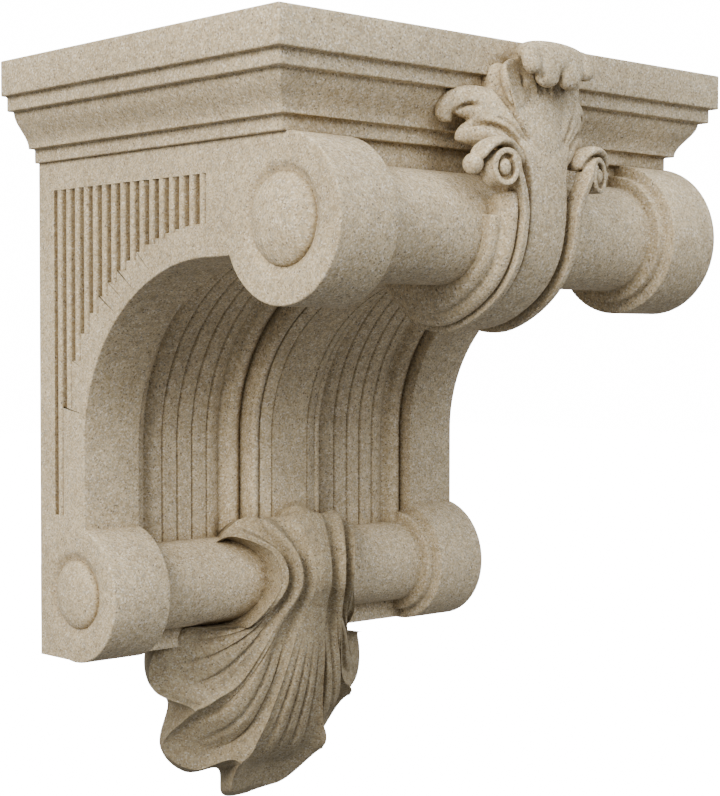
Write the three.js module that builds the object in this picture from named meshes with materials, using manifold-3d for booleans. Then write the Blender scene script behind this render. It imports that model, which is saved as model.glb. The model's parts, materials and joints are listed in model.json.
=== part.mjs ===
// A carved stone corbel: a moulded cap on a scrolled bracket, with two rolls, a concave sweep
// between them, an acanthus head on the upper roll and a shell under the lower one.
// Millimetres. X runs along the wall, Y into it, Z up. Depths are measured forwards from the wall
// (towards -Y) and drops downwards from the top of the cap, and toPoint() turns both into a place.
import * as THREE from 'three';
import { mergeVertices } from 'three/addons/utils/BufferGeometryUtils.js';
import Module from 'manifold-3d';

const wasm = await Module();
wasm.setup();

// Cap
const capWidth = 400;
const capDepth = 273;
const slabHeight = 23;
const filletHeight = 9.4;
const filletInset = 4.6;
const ogeeHeight = 23;
const ogeeTopInset = 9.6;
const ogeeBottomInset = 21;
const lowerFasciaHeight = 9;
const lowerFasciaInset = 25.8;
const capHeight = slabHeight + filletHeight + ogeeHeight + lowerFasciaHeight;
const overlap = 4;

// Body
const bodyInset = 29;
const bodyWidth = capWidth - 2 * bodyInset;
const bodyHeight = 389;
const cheekWidth = 44.5;
const innerHalfWidth = bodyWidth / 2 - cheekWidth;

// Upper roll
const upperRollDepth = 241.5;
const upperRollRadius = 49.5;
const upperRollDrop = capHeight + upperRollRadius - 0.8;
const upperCoreRadius = 34.5;
const upperCove = 5;
const upperBossRadius = 28;
const upperBossRise = 9;

// Lower roll
const lowerRollDepth = 39;
const lowerRollRadius = 44.2;
const lowerRollDrop = bodyHeight - lowerRollRadius + 1;
const lowerCoreRadius = 29.5;
const lowerCove = 5;
const lowerBossRadius = 23.5;
const lowerBossRise = 7.5;

// Dish cut round each boss
const dishWidth = 5;
const dishSink = 2.6;

// Concave sweep between the rolls: a quarter ellipse above a straight foot
const sweepDepth = 50;
const sweepForward = 126;
const sweepRise = 115;
const sweepCentreDrop = 247.5;
const throatDepth = 189.5;
const throatLean = 16;
const throatReach = 18;

// Reeded panel on each side
const reedPitch = 9.86;
const reedCount = 16;
const reedSink = 3;
const reedMargin = 17.3;
const reedTopDrop = 83;
const reedFootDrop = 295;
const reedBand = 20;

// Sunk panels in the sweep, each with three fillets between two coves and two reeds
const ribHalfWidth = 31.5;
const panelSink = 12;
const lineCount = 4;
const lineWidth = 1.8;
const lineSink = 2.2;
const filletPitch = 12.8;
const shoulderWidth = 13;
const shoulderSink = 4;
const panelReedRise = 4;
const panelGrooveWidth = 3.6;

// Rib down the middle of the sweep
const ribBandHalfWidth = 16.5;
const ribRise = 6.5;
const ribBevelWidth = 8;
const ribBevelSink = 2.5;
const ribBeadWidth = 7;
const ribBeadRise = 2.2;

// Stem wrapped round the upper roll
const stemHalfWidth = 16.5;
const strapInner = 21.5;
const strapOuter = 26.5;
const strapRise = 3.6;
const stemCrown = 2;
const gutterSink = 6;
const strapStart = 2;
const collarSteps = 2;
const collarStepWidth = 6.5;
const collarStepSink = 7;

// Lobes of the acanthus
const lobeThickness = 8;

// Volutes at the head of the straps
const voluteOffset = 42.5;
const voluteDrop = 80;
const voluteRise = 6;
const voluteFrontDepth = upperRollDepth + upperRollRadius + voluteRise;
const voluteRadius = 11.4;
const voluteThickness = 10;
const voluteRibbon = 4.2;
const voluteSquash = 0.82;
const voluteSink = 2.5;
const voluteButton = 4.4;
const voluteTail = 14;
const budRadius = 7;
const budOffset = 62;
const budDepth = upperRollDepth + 39.5;
const budDrop = 77;

// Shell under the lower roll: half widths, then the fan's reach at its lobes and notches
const shellTopHalfWidth = 64;
const shellWaistHalfWidth = 34;
const shellFrontDepth = lowerRollDepth + lowerRollRadius + 6.8;
const shellTopDrop = lowerRollDrop - lowerRollRadius - 1.6;
const shellFanDrop = bodyHeight - 11;
const shellFlute = 4.5;
const shellLean = 7;

// Half of the shell's rim, from the middle of its bottom lobe to its top edge: angle and reach from
// the fan's centre and depth at the front, angle and reach against the wall, and how proud it stands
const shellRim = [
  { angle: 0, reach: 124, depth: 26, backAngle: 0, backReach: 134, lift: -1 },
  { angle: 11, reach: 125, depth: 30, backAngle: 7, backReach: 131, lift: -0.5 },
  { angle: 23, reach: 103, depth: 50, backAngle: 10, backReach: 113, lift: 1 },
  { angle: 28, reach: 118, depth: 28, backAngle: 24, backReach: 120, lift: -0.6 },
  { angle: 42, reach: 116, depth: 23, backAngle: 38, backReach: 113, lift: -0.6 },
  { angle: 51, reach: 94, depth: 45, backAngle: 46, backReach: 87, lift: 1 },
  { angle: 64, reach: 107, depth: 37, backAngle: 59, backReach: 92, lift: -0.8 },
  { angle: 76, reach: 100, depth: 38, backAngle: 71, backReach: 88, lift: -0.5 },
  { angle: 85, reach: 80, depth: 46, backAngle: 84, backReach: 74, lift: 0.6 },
];

// How far the tools that cut the faces stand out of them
const toolClear = 2;
const panelToolClear = 26;

// Mesh fineness
const weldDistance = 1e-3;
const rollSides = 26;
const sweepSteps = 12;
const shellAcross = 32;
const shellAlong = 12;

const stone = new THREE.MeshStandardMaterial({ color: 0xbdb19a, roughness: 0.93, metalness: 0 });

// A point of the side view, seen along X, from its depth and drop
function toPoint(depth, drop) {
  return new THREE.Vector2(-depth, -drop);
}

// A closed three.js geometry as a manifold solid, turned so that its faces point out
function toSolid(geometry) {
  const bare = geometry.clone();
  bare.deleteAttribute('normal');
  bare.deleteAttribute('uv');
  const merged = mergeVertices(bare, weldDistance);
  const vertProperties = new Float32Array(merged.attributes.position.array);
  const triVerts = new Uint32Array(merged.index.array);
  const solid = new wasm.Manifold(new wasm.Mesh({ numProp: 3, vertProperties, triVerts }));
  if (solid.volume() > 0) {
    return solid;
  }
  triVerts.reverse();
  return new wasm.Manifold(new wasm.Mesh({ numProp: 3, vertProperties, triVerts }));
}

// A side-view outline in (Y, Z), extruded along X from one place to another
function sideExtrusion(points, fromX, toX) {
  const options = { depth: toX - fromX, bevelEnabled: false };
  const geometry = new THREE.ExtrudeGeometry(new THREE.Shape(points), options);
  geometry.rotateX(Math.PI / 2);
  geometry.rotateZ(Math.PI / 2);
  geometry.translate(fromX, 0, 0);
  return toSolid(geometry);
}

// A front-view outline in (X, Z), extruded forwards from one depth to another
function frontExtrusion(points, fromDepth, toDepth) {
  const options = { depth: toDepth - fromDepth, bevelEnabled: false };
  const geometry = new THREE.ExtrudeGeometry(new THREE.Shape(points), options);
  geometry.rotateX(Math.PI / 2);
  geometry.translate(0, -fromDepth, 0);
  return toSolid(geometry);
}

// The cap's moulding as insets and drops, from the top down
function capMoulding() {
  const points = [[0, 0], [0, slabHeight], [filletInset, slabHeight]];
  const ogeeTop = slabHeight + filletHeight;
  points.push([filletInset, ogeeTop]);
  const steps = 6;
  for (let i = 0; i <= steps; i += 1) {
    const t = i / steps;
    const curve = (1 - Math.cos(Math.PI * t)) / 2;
    points.push([ogeeTopInset + (ogeeBottomInset - ogeeTopInset) * curve, ogeeTop + ogeeHeight * t]);
  }
  points.push([lowerFasciaInset, ogeeTop + ogeeHeight], [lowerFasciaInset, capHeight]);
  return points;
}

// The moulding run along the front, cut by the moulding run along both sides, which mitres it
function makeCap() {
  const moulding = capMoulding();
  const front = moulding.map(([inset, drop]) => toPoint(capDepth - inset, drop));
  const side = [toPoint(0, 0), ...front, toPoint(0, capHeight)];
  const right = moulding.map(([inset, drop]) => new THREE.Vector2(capWidth / 2 - inset, -drop));
  const left = moulding.map(([inset, drop]) => new THREE.Vector2(inset - capWidth / 2, -drop)).reverse();
  const frontRun = sideExtrusion(side, -capWidth / 2, capWidth / 2);
  return frontRun.intersect(frontExtrusion([...right, ...left], 0, capDepth));
}

// Drop of the sweep's edge, moved outwards by a band, at a depth
function sweepDrop(depth, band) {
  const across = (sweepDepth + sweepForward - depth) / (sweepForward + band);
  return sweepCentreDrop - (sweepRise + band) * Math.sqrt(Math.max(0, 1 - across * across));
}

// The line that the sweep's section follows, from inside the lower roll up to the upper roll
class SweepPath extends THREE.Curve {
  getPoint(t, target = new THREE.Vector3()) {
    const foot = lowerRollDrop - sweepCentreDrop;
    const arc = (Math.PI / 4) * (sweepForward + sweepRise);
    const head = upperRollDepth - sweepDepth - sweepForward;
    const along = t * (foot + arc + head);
    if (along < foot) {
      return target.set(0, -sweepDepth, -lowerRollDrop + along);
    }
    if (along > foot + arc) {
      return target.set(0, -(sweepDepth + sweepForward + along - foot - arc), -(sweepCentreDrop - sweepRise));
    }
    const angle = ((along - foot) / arc) * (Math.PI / 2);
    const depth = sweepDepth + sweepForward * (1 - Math.cos(angle));
    return target.set(0, -depth, -(sweepCentreDrop - sweepRise * Math.sin(angle)));
  }
}

// A section run along the sweep, from points that each give a place across and a height out of the stone
function sweepExtrusion(section) {
  const shape = new THREE.Shape(section.map(([across, out]) => new THREE.Vector2(out, across)));
  const geometry = new THREE.ExtrudeGeometry(shape, {
    steps: sweepSteps, bevelEnabled: false, extrudePath: new SweepPath(),
  });
  return toSolid(geometry);
}

// The plain bracket between cap and lower roll, before its sides and sweep are carved
function makeBody() {
  const points = [toPoint(0, capHeight - overlap), toPoint(upperRollDepth, capHeight - overlap)];
  points.push(toPoint(upperRollDepth, upperRollDrop));
  const throatDrop = sweepDrop(sweepDepth + sweepForward, 0);
  points.push(toPoint(throatDepth + throatReach, throatDrop + throatLean), toPoint(throatDepth, throatDrop));
  const steps = 16;
  for (let i = 0; i <= steps; i += 1) {
    const angle = (1 - i / steps) * (Math.PI / 2);
    const depth = sweepDepth + sweepForward * (1 - Math.cos(angle));
    points.push(toPoint(depth, sweepCentreDrop - sweepRise * Math.sin(angle)));
  }
  points.push(toPoint(sweepDepth, lowerRollDrop));
  points.push(toPoint(lowerRollDepth, bodyHeight), toPoint(0, bodyHeight));
  return sideExtrusion(points, -bodyWidth / 2, bodyWidth / 2);
}

// The floor of one sunk panel, from the rib's side to the cheek's, as offsets and sinks
function panelFloor() {
  const width = innerHalfWidth - ribHalfWidth;
  const middle = width / 2;
  const lines = (lineCount - 1) * filletPitch / 2;
  const shoulder = middle - lines - shoulderWidth;
  const reed = shoulder - panelGrooveWidth;
  const half = [[0, panelSink]];
  for (const [share, rise] of [[0.2, 0.75], [0.5, 1], [0.8, 0.75]]) {
    half.push([reed * share, panelSink - panelReedRise * rise]);
  }
  half.push([reed, panelSink + shoulderSink / 2], [shoulder, panelSink + shoulderSink]);
  half.push([shoulder + shoulderWidth * 0.25, panelSink + shoulderSink * 0.35]);
  half.push([shoulder + shoulderWidth * 0.6, panelSink]);
  for (let i = 0; i < lineCount / 2; i += 1) {
    const line = middle - lines + i * filletPitch;
    half.push([line - lineWidth / 2, panelSink], [line, panelSink + lineSink]);
    half.push([line + lineWidth / 2, panelSink]);
  }
  const mirrored = half.map(([offset, sink]) => [width - offset, sink]).reverse();
  return [...half, ...mirrored];
}

// The stone cut out of the sweep on one side of the rib
function makePanelCutter(side) {
  const floor = panelFloor().map(([offset, sink]) => [side * (ribHalfWidth + offset), -sink]);
  const near = [side * ribHalfWidth, panelToolClear];
  return sweepExtrusion([near, ...floor, [side * innerHalfWidth, panelToolClear]]);
}

// The raised rib with a flat band, bevels and a bead on each side
function makeRib() {
  const bevel = ribBandHalfWidth + ribBevelWidth;
  const half = [[ribBandHalfWidth, ribRise], [bevel, ribRise - ribBevelSink]];
  half.push([bevel + 0.6, ribRise - 2 * ribBevelSink]);
  half.push([bevel + ribBeadWidth * 0.3, ribBeadRise + 1.4], [bevel + ribBeadWidth * 0.75, ribBeadRise + 1]);
  half.push([ribHalfWidth + 0.4, 0], [ribHalfWidth + 0.4, -panelSink - 3]);
  const left = half.map(([across, out]) => [-across, out]).reverse();
  return sweepExtrusion([...half, ...left]);
}

// One reeded panel: the hollows between half-round reeds that stand level with the face
function makeReedCutter(side) {
  const face = bodyWidth / 2;
  let cutter = null;
  for (let k = 0; k < reedCount; k += 1) {
    const near = reedMargin + k * reedPitch;
    const middle = near + reedPitch / 2;
    const beyond = middle < sweepDepth - reedBand;
    const foot = beyond ? reedFootDrop : sweepDrop(middle, reedBand);
    const points = [new THREE.Vector2(side * (face + toolClear), -near)];
    const steps = 3;
    for (let i = 0; i <= steps; i += 1) {
      const across = (2 * i) / steps - 1;
      const sink = reedSink * (1 - Math.sqrt(1 - across * across * 0.96));
      points.push(new THREE.Vector2(side * (face - sink - 0.05), -(near + (reedPitch * i) / steps)));
    }
    points.push(new THREE.Vector2(side * (face + toolClear), -(near + reedPitch)));
    const options = { depth: foot - reedTopDrop, bevelEnabled: false };
    const geometry = new THREE.ExtrudeGeometry(new THREE.Shape(points), options);
    geometry.translate(0, 0, -foot);
    const reed = toSolid(geometry);
    cutter = cutter ? cutter.add(reed) : reed;
  }
  return cutter;
}

// A roll across the corbel: thick ends with a domed boss in a dish, and a thinner core between coves
function makeRoll(depth, drop, radius, coreRadius, cove, bossRadius, bossRise) {
  const end = bodyWidth / 2;
  const half = [];
  for (const share of [0, 0.45, 0.75, 0.94]) {
    const rise = bossRise * Math.sqrt(1 - share * share);
    half.push([bossRadius * share, end - dishSink + rise]);
  }
  half.push([bossRadius, end - dishSink], [bossRadius + dishWidth, end - dishSink * 0.4]);
  half.push([bossRadius + dishWidth + 1, end], [radius, end], [radius, end - cheekWidth]);
  for (let i = 0; i <= 3; i += 1) {
    const angle = (i / 3) * (Math.PI / 2);
    half.push([coreRadius + cove * (1 - Math.sin(angle)), innerHalfWidth - cove * (1 - Math.cos(angle))]);
  }
  const whole = [...half, ...half.map(([r, x]) => [r, -x]).reverse()].reverse();
  const profile = whole.map(([r, x]) => new THREE.Vector2(r, x));
  const geometry = new THREE.LatheGeometry(profile, rollSides);
  geometry.rotateZ(-Math.PI / 2);
  geometry.translate(0, -depth, -drop);
  return toSolid(geometry);
}

// The round hollows in both side faces that the dishes and bosses of a roll sit in
function makeDishCutter(depth, drop, bossRadius) {
  const radius = bossRadius + dishWidth + 1;
  const thickness = dishSink + 2;
  let cutter = null;
  for (const side of [-1, 1]) {
    const disc = new THREE.CylinderGeometry(radius, radius, thickness, rollSides);
    disc.rotateZ(Math.PI / 2);
    disc.translate(side * (bodyWidth / 2 - dishSink - 1 + thickness / 2), -depth, -drop);
    cutter = cutter ? cutter.add(toSolid(disc)) : toSolid(disc);
  }
  return cutter;
}

// The stem's line in the side view, from the leaf round the roll and back to the sweep, as places
// ahead of the roll's axis and drops
function stemLine(rise) {
  const course = [
    [41.5, 52], [48.5, 66], [51, 88], [50.5, 110], [45.5, 132], [33.5, 150],
    [14.5, 164], [-7.5, 172], [-29.5, 170], [-49.5, 157], [-65.5, 138],
  ];
  const curve = new THREE.SplineCurve(course.map(([ahead, drop]) => toPoint(upperRollDepth + ahead, drop)));
  const count = 17;
  const line = [];
  for (let i = 0; i <= count; i += 1) {
    const point = curve.getPoint(i / count);
    const tangent = curve.getTangent(i / count);
    line.push(new THREE.Vector2(point.x + tangent.y * rise, point.y - tangent.x * rise));
  }
  return line;
}

// A slice of the stem between two places across the corbel, from a point along its line, filled
// back to the roll
function stemSlice(fromX, toX, rise, start) {
  const line = stemLine(rise).slice(start);
  const inside = [toPoint(sweepDepth + sweepForward, upperRollDrop), toPoint(upperRollDepth, upperRollDrop)];
  return sideExtrusion([...line, ...inside, new THREE.Vector2(line[0].x + 28, line[0].y)], fromX, toX);
}

// Stem, the two straps beside it and the stepped collars that carry them
function makeStem() {
  let stem = stemSlice(-strapInner - 0.5, strapInner + 0.5, -gutterSink, 0);
  stem = stem.add(stemSlice(-stemHalfWidth, stemHalfWidth, 0, 0));
  stem = stem.add(stemSlice(-stemHalfWidth * 0.6, stemHalfWidth * 0.6, stemCrown, 0));
  for (const side of [-1, 1]) {
    const near = Math.min(side * strapInner, side * strapOuter);
    const far = Math.max(side * strapInner, side * strapOuter);
    stem = stem.add(stemSlice(near, far, strapRise, strapStart));
    for (let k = 1; k <= collarSteps; k += 1) {
      const reach = side * (strapOuter + k * collarStepWidth);
      const rise = strapRise - k * collarStepSink;
      stem = stem.add(stemSlice(Math.min(0, reach), Math.max(0, reach), rise, strapStart));
    }
  }
  return stem;
}

// A tongue of stone along a smooth line through points (x, ahead, drop), with half widths along it,
// where ahead is measured forwards from the upper roll's axis.
// One that curls over forwards keeps its width along X.
function makeTongue(course, halfWidths, halfThickness, curls = false) {
  const curve = new THREE.CatmullRomCurve3(
    course.map(([x, ahead, drop]) => new THREE.Vector3(x, -(upperRollDepth + ahead), -drop)),
  );
  const widths = new THREE.SplineCurve(halfWidths.map((width, i) => new THREE.Vector2(i, width)));
  const geometry = new THREE.SphereGeometry(1, 8, 8);
  const front = new THREE.Vector3(0, -1, 0);
  const position = geometry.attributes.position;
  const vertex = new THREE.Vector3();
  for (let i = 0; i < position.count; i += 1) {
    vertex.fromBufferAttribute(position, i);
    const t = Math.min(1, Math.max(0, (1 - vertex.y) / 2));
    const swell = Math.pow(Math.hypot(vertex.x, vertex.z), 0.6);
    const angle = Math.atan2(vertex.z, vertex.x);
    const tangent = curve.getTangent(t);
    const square = new THREE.Vector3().crossVectors(front, tangent).normalize();
    const across = curls ? new THREE.Vector3(-1, 0, 0) : square;
    const out = new THREE.Vector3().crossVectors(tangent, across).normalize();
    const point = curve.getPoint(t);
    point.addScaledVector(across, -widths.getPoint(t).y * swell * Math.cos(angle));
    point.addScaledVector(out, -halfThickness * swell * Math.sin(angle));
    position.setXYZ(i, point.x, point.y, point.z);
  }
  return toSolid(geometry);
}

// The acanthus head: a blade on the stem, lobes that spread from it and a lip that curls over it
function makeAcanthus() {
  const blade = [[0, 34.5, 112], [0, 39.5, 88], [0, 41.5, 66], [0, 39.5, 44], [0, 37.5, 22]];
  let leaf = makeTongue(blade, [17, 18, 22, 27, 28], 9);
  const lip = [[0, 28.5, 34], [0, 34.5, 14], [0, 44.5, 7], [0, 54.5, 9], [0, 58.5, 18], [0, 57.5, 26]];
  leaf = leaf.add(makeTongue(lip, [24, 27, 25, 14], 7, true));
  const lobes = [
    {
      course: [[6, 39.5, 66], [14, 41.5, 50], [25, 41.5, 36], [35, 39.5, 26], [42, 34.5, 18]],
      widths: [6, 10, 13, 13, 11],
    },
    {
      course: [
        [6, 41.5, 70], [20, 40.5, 56], [34, 34.5, 43], [46, 27.5, 36], [56, 21.5, 39], [61, 18.5, 50], [56, 20.5, 59],
      ],
      widths: [6, 8.5, 10, 10, 9.5, 8.5, 7],
    },
    {
      course: [[6, 41.5, 76], [22, 39.5, 64], [36, 32.5, 58], [47, 26.5, 60], [56, 21.5, 66]],
      widths: [5, 7, 8, 8, 6],
    },
  ];
  for (const lobe of lobes) {
    for (const side of [-1, 1]) {
      const course = lobe.course.map(([x, ahead, drop]) => [side * x, ahead, drop]);
      leaf = leaf.add(makeTongue(course, lobe.widths, lobeThickness));
    }
  }
  return leaf;
}

// A volute: a disc with a ribbon wound round its face that runs down into the strap
function makeVolute(side) {
  const outer = [];
  const inner = [];
  const turns = 10;
  for (let i = 0; i <= turns; i += 1) {
    const share = i / turns;
    const angle = Math.PI * (1.6 * share - 0.1);
    const radius = voluteRadius - share * voluteRibbon * 0.6;
    for (const [list, reach] of [[outer, radius], [inner, radius - voluteRibbon]]) {
      const x = side * (voluteOffset - reach * voluteSquash * Math.cos(angle));
      list.push(new THREE.Vector2(x, reach * Math.sin(angle) - voluteDrop));
    }
  }
  const strapDrop = voluteDrop + voluteTail;
  const ribbon = [new THREE.Vector2(side * strapInner, -strapDrop), ...outer, ...inner.reverse()];
  ribbon.push(new THREE.Vector2(side * strapOuter, -strapDrop));
  const backDepth = voluteFrontDepth - voluteThickness;
  let volute = frontExtrusion(ribbon, backDepth, voluteFrontDepth);
  const discRadius = voluteRadius - voluteRibbon / 2;
  const disc = new THREE.CylinderGeometry(discRadius, discRadius, voluteThickness, 16);
  disc.scale(voluteSquash, 1, 1);
  disc.translate(side * voluteOffset, -(voluteFrontDepth - voluteThickness / 2 - voluteSink), -voluteDrop);
  volute = volute.add(toSolid(disc));
  const button = new THREE.SphereGeometry(voluteButton, 10, 8);
  button.translate(side * voluteOffset, -voluteFrontDepth + voluteSink, -voluteDrop);
  volute = volute.add(toSolid(button));
  const hood = [[14, 44.5, 84], [28, 45.5, 64], [44, 44.5, 60], [58, 41.5, 68], [62, 39.5, 76]];
  const course = hood.map(([x, ahead, drop]) => [side * x, ahead, drop]);
  volute = volute.add(makeTongue(course, [5, 5, 4], lobeThickness));
  const bud = new THREE.SphereGeometry(budRadius, 10, 8);
  bud.translate(side * budOffset, -budDepth, -budDrop);
  return volute.add(toSolid(bud));
}

// A point of the shell's rim, counted from its middle; one before the middle mirrors the one after it
function rimPoint(i) {
  const point = shellRim[Math.min(shellRim.length - 1, Math.abs(i))];
  return i < 0 ? { ...point, angle: -point.angle, backAngle: -point.backAngle } : point;
}

// One value of the shell's rim at a place across it, smoothed between the rim's points
function rimValue(across, name) {
  const last = shellRim.length - 1;
  const index = Math.abs(across) * last;
  const k = Math.min(last - 1, Math.floor(index));
  const t = index - k;
  const value = (i) => rimPoint(i)[name];
  const bend = (value(k + 1) - value(k - 1)) * t * (1 - t) * (1 - t) / 2;
  const bendNext = (value(k + 2) - value(k)) * t * t * (1 - t) / 2;
  const ease = t * t * (3 - 2 * t);
  return value(k) * (1 - ease) + value(k + 1) * ease + bend - bendNext;
}

// A place on the shell: across from -1 to 1, along from its crest to its rim, and front or back
function shellPoint(across, along, front) {
  const crest = Math.cos(Math.PI * 3 * across);
  const side = across * across;
  const fan = (share, depth, angleName = 'angle', reachName = 'reach') => {
    const turn = rimValue(across, angleName) * Math.sign(across) - shellLean * side;
    const reach = share * rimValue(across, reachName);
    const angle = THREE.MathUtils.degToRad(turn);
    return new THREE.Vector3(reach * Math.sin(angle), -depth, -shellFanDrop - reach * Math.cos(angle));
  };
  const rimDepth = rimValue(across, 'depth');
  const half = shellWaistHalfWidth * across;
  const course = [
    new THREE.Vector3(
      shellTopHalfWidth * across, 12 * side - 3 * crest - 60, 5 * crest - 16 * side - shellTopDrop,
    ),
    new THREE.Vector3(shellTopHalfWidth * 0.88 * across, 12 * side - 74, -shellTopDrop - 2 - 12 * side),
    new THREE.Vector3(half * 1.12, 5 * side + 3 - shellFrontDepth, -shellTopDrop - 25),
    new THREE.Vector3(half, 5 * side - shellFrontDepth, -shellTopDrop - 48),
    new THREE.Vector3(half * 1.4, 12 * side + 10 - shellFrontDepth, 4 - shellFanDrop),
    fan(0.64, 62 - 5 * side),
    fan(0.88, rimDepth + 5),
    fan(1, rimDepth),
  ];
  const place = new THREE.CatmullRomCurve3(course).getPoint(along);
  place.y -= shellFlute * rimValue(across, 'lift') * Math.min(1, 2.5 * along);
  if (front) {
    return place;
  }
  const open = Math.min(1, Math.max(0, (along - 0.55) / 0.2));
  const wall = fan(Math.max(0.4, along), 0, 'backAngle', 'backReach');
  const inside = new THREE.Vector3(place.x * 0.88, 8 - lowerRollDepth, place.z - 6);
  return inside.lerp(wall, open);
}

// The scallop shell that wraps the lower roll and fans out under it against the wall
function makeShell() {
  const geometry = new THREE.BoxGeometry(2, 1, 1, shellAcross, shellAlong, 1);
  const position = geometry.attributes.position;
  for (let i = 0; i < position.count; i += 1) {
    const along = 0.5 - position.getY(i);
    const place = shellPoint(position.getX(i), along, position.getZ(i) > 0);
    position.setXYZ(i, place.x, Math.min(0, place.y), place.z);
  }
  return toSolid(geometry);
}

// The wall, which takes off whatever reaches behind its face
function makeWall() {
  const wall = new THREE.BoxGeometry(2 * capWidth, 2 * lowerRollRadius, 3 * bodyHeight);
  wall.translate(0, lowerRollRadius, -bodyHeight / 2);
  return toSolid(wall);
}

// Everything joined, as it is carved from one block
function makeCorbel() {
  let corbel = makeBody();
  for (const side of [-1, 1]) {
    corbel = corbel.subtract(makePanelCutter(side)).subtract(makeReedCutter(side));
  }
  corbel = corbel.subtract(makeDishCutter(upperRollDepth, upperRollDrop, upperBossRadius));
  corbel = corbel.subtract(makeDishCutter(lowerRollDepth, lowerRollDrop, lowerBossRadius));
  corbel = corbel.add(makeRib());
  corbel = corbel.add(makeRoll(
    upperRollDepth, upperRollDrop, upperRollRadius, upperCoreRadius, upperCove,
    upperBossRadius, upperBossRise,
  ));
  corbel = corbel.add(makeRoll(
    lowerRollDepth, lowerRollDrop, lowerRollRadius, lowerCoreRadius, lowerCove,
    lowerBossRadius, lowerBossRise,
  ));
  corbel = corbel.add(makeStem()).add(makeAcanthus());
  corbel = corbel.add(makeVolute(-1)).add(makeVolute(1));
  corbel = corbel.add(makeShell()).add(makeCap());
  return corbel.subtract(makeWall());
}

// A manifold solid as a three.js geometry
function toGeometry(solid) {
  const mesh = solid.getMesh();
  const geometry = new THREE.BufferGeometry();
  geometry.setAttribute('position', new THREE.BufferAttribute(new Float32Array(mesh.vertProperties), 3));
  geometry.setIndex(new THREE.BufferAttribute(new Uint32Array(mesh.triVerts), 1));
  geometry.computeVertexNormals();
  return geometry;
}

const part = new THREE.Group();
const corbel = new THREE.Mesh(toGeometry(makeCorbel()), stone);
corbel.name = 'corbel';
corbel.position.z = bodyHeight / 2;
part.add(corbel);

export default part;
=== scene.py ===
"""Stone corbel: the visual model of a carved wall bracket, in metres, in the frame of its solid.

Sizes are in millimetres. Depths are measured forwards from the wall and drops downwards from the
top of the cap, and place() turns both into a point of the frame.
"""

import json
import logging
import math
from dataclasses import dataclass, field
from enum import Enum
from typing import Callable

import bmesh
import bpy
import numpy as np
from mathutils import Euler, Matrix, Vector


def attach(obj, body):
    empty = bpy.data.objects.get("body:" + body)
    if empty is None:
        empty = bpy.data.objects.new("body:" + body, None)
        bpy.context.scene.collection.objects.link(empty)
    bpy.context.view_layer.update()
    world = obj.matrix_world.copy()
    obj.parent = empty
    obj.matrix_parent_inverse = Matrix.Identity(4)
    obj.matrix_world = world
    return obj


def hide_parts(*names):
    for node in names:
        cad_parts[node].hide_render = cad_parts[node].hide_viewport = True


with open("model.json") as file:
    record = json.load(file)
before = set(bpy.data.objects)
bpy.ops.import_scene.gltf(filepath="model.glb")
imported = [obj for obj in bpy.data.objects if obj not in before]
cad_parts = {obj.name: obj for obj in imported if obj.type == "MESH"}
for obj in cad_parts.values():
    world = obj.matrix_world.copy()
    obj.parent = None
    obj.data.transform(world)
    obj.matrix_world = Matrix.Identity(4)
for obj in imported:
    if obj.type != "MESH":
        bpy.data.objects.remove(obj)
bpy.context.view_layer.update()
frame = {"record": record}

log = logging.getLogger("corbel")

NODE = "corbel"
MM = 0.001
CAP_TOP = next(m["pos_m"][2] for m in frame["record"]["mounts"] if m["name"] == "top") / MM


class Side(Enum):
    """The corbel's halves, as the sign of X."""

    LEFT = -1
    RIGHT = 1


@dataclass(frozen=True)
class Sizes:
    """The corbel's driving dimensions."""

    cap_width: float = 400.0
    cap_depth: float = 273.0
    cap_height: float = 64.4
    body_width: float = 342.0
    body_height: float = 389.0
    cheek_width: float = 44.5
    sweep_depth: float = 50.0
    sweep_forward: float = 126.0
    sweep_rise: float = 115.0
    sweep_centre_drop: float = 247.5
    rib_half_width: float = 31.5
    panel_sink: float = 12.0
    upper_depth: float = 241.5
    upper_drop: float = 113.1
    upper_radius: float = 49.5
    upper_core: float = 34.5
    lower_depth: float = 39.0
    lower_drop: float = 345.8
    lower_radius: float = 44.2
    lower_core: float = 29.5

    @property
    def half_body(self) -> float:
        """Distance from the middle to a side face."""
        return self.body_width / 2

    @property
    def inner_half(self) -> float:
        """Distance from the middle to the inner face of a cheek."""
        return self.half_body - self.cheek_width


SIZES = Sizes()

# How far two faces that would share a plane are kept apart, in millimetres
SEAM = 0.06


def place(x: float, depth: float, drop: float) -> tuple[float, float, float]:
    """A point of the frame, in metres.

    Args:
        x: Millimetres to the right of the middle.
        depth: Millimetres forwards from the wall.
        drop: Millimetres below the top of the cap.
    Returns:
        The point's X, Y and Z in metres.
    """
    return (x * MM, -depth * MM, (CAP_TOP - drop) * MM)


def smooth_step(value: np.ndarray | float) -> np.ndarray | float:
    """A smooth rise from 0 to 1 as the value goes from 0 to 1."""
    t = np.clip(value, 0.0, 1.0)
    return t * t * (3 - 2 * t)


def spline(points: list[tuple[float, ...]], count: int) -> np.ndarray:
    """A smooth line through points, spaced evenly along its length.

    Args:
        points: The points that the line passes through.
        count: How many points the result has.
    Returns:
        An array of count points.
    """
    given = np.array(points, dtype=float)
    padded = np.vstack([2 * given[0] - given[1], given, 2 * given[-1] - given[-2]])
    dense = []
    for i in range(1, len(padded) - 2):
        a, b, c, d = padded[i - 1:i + 3]
        for t in np.linspace(0, 1, 24, endpoint=False):
            dense.append(0.5 * (2 * b + (c - a) * t + (2 * a - 5 * b + 4 * c - d) * t ** 2
                                + (3 * b - a - 3 * c + d) * t ** 3))
    dense.append(given[-1])
    dense = np.array(dense)
    lengths = np.concatenate([[0], np.cumsum(np.linalg.norm(np.diff(dense, axis=0), axis=1))])
    wanted = np.linspace(0, lengths[-1], count)
    return np.stack([np.interp(wanted, lengths, dense[:, k]) for k in range(dense.shape[1])], axis=1)


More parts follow.
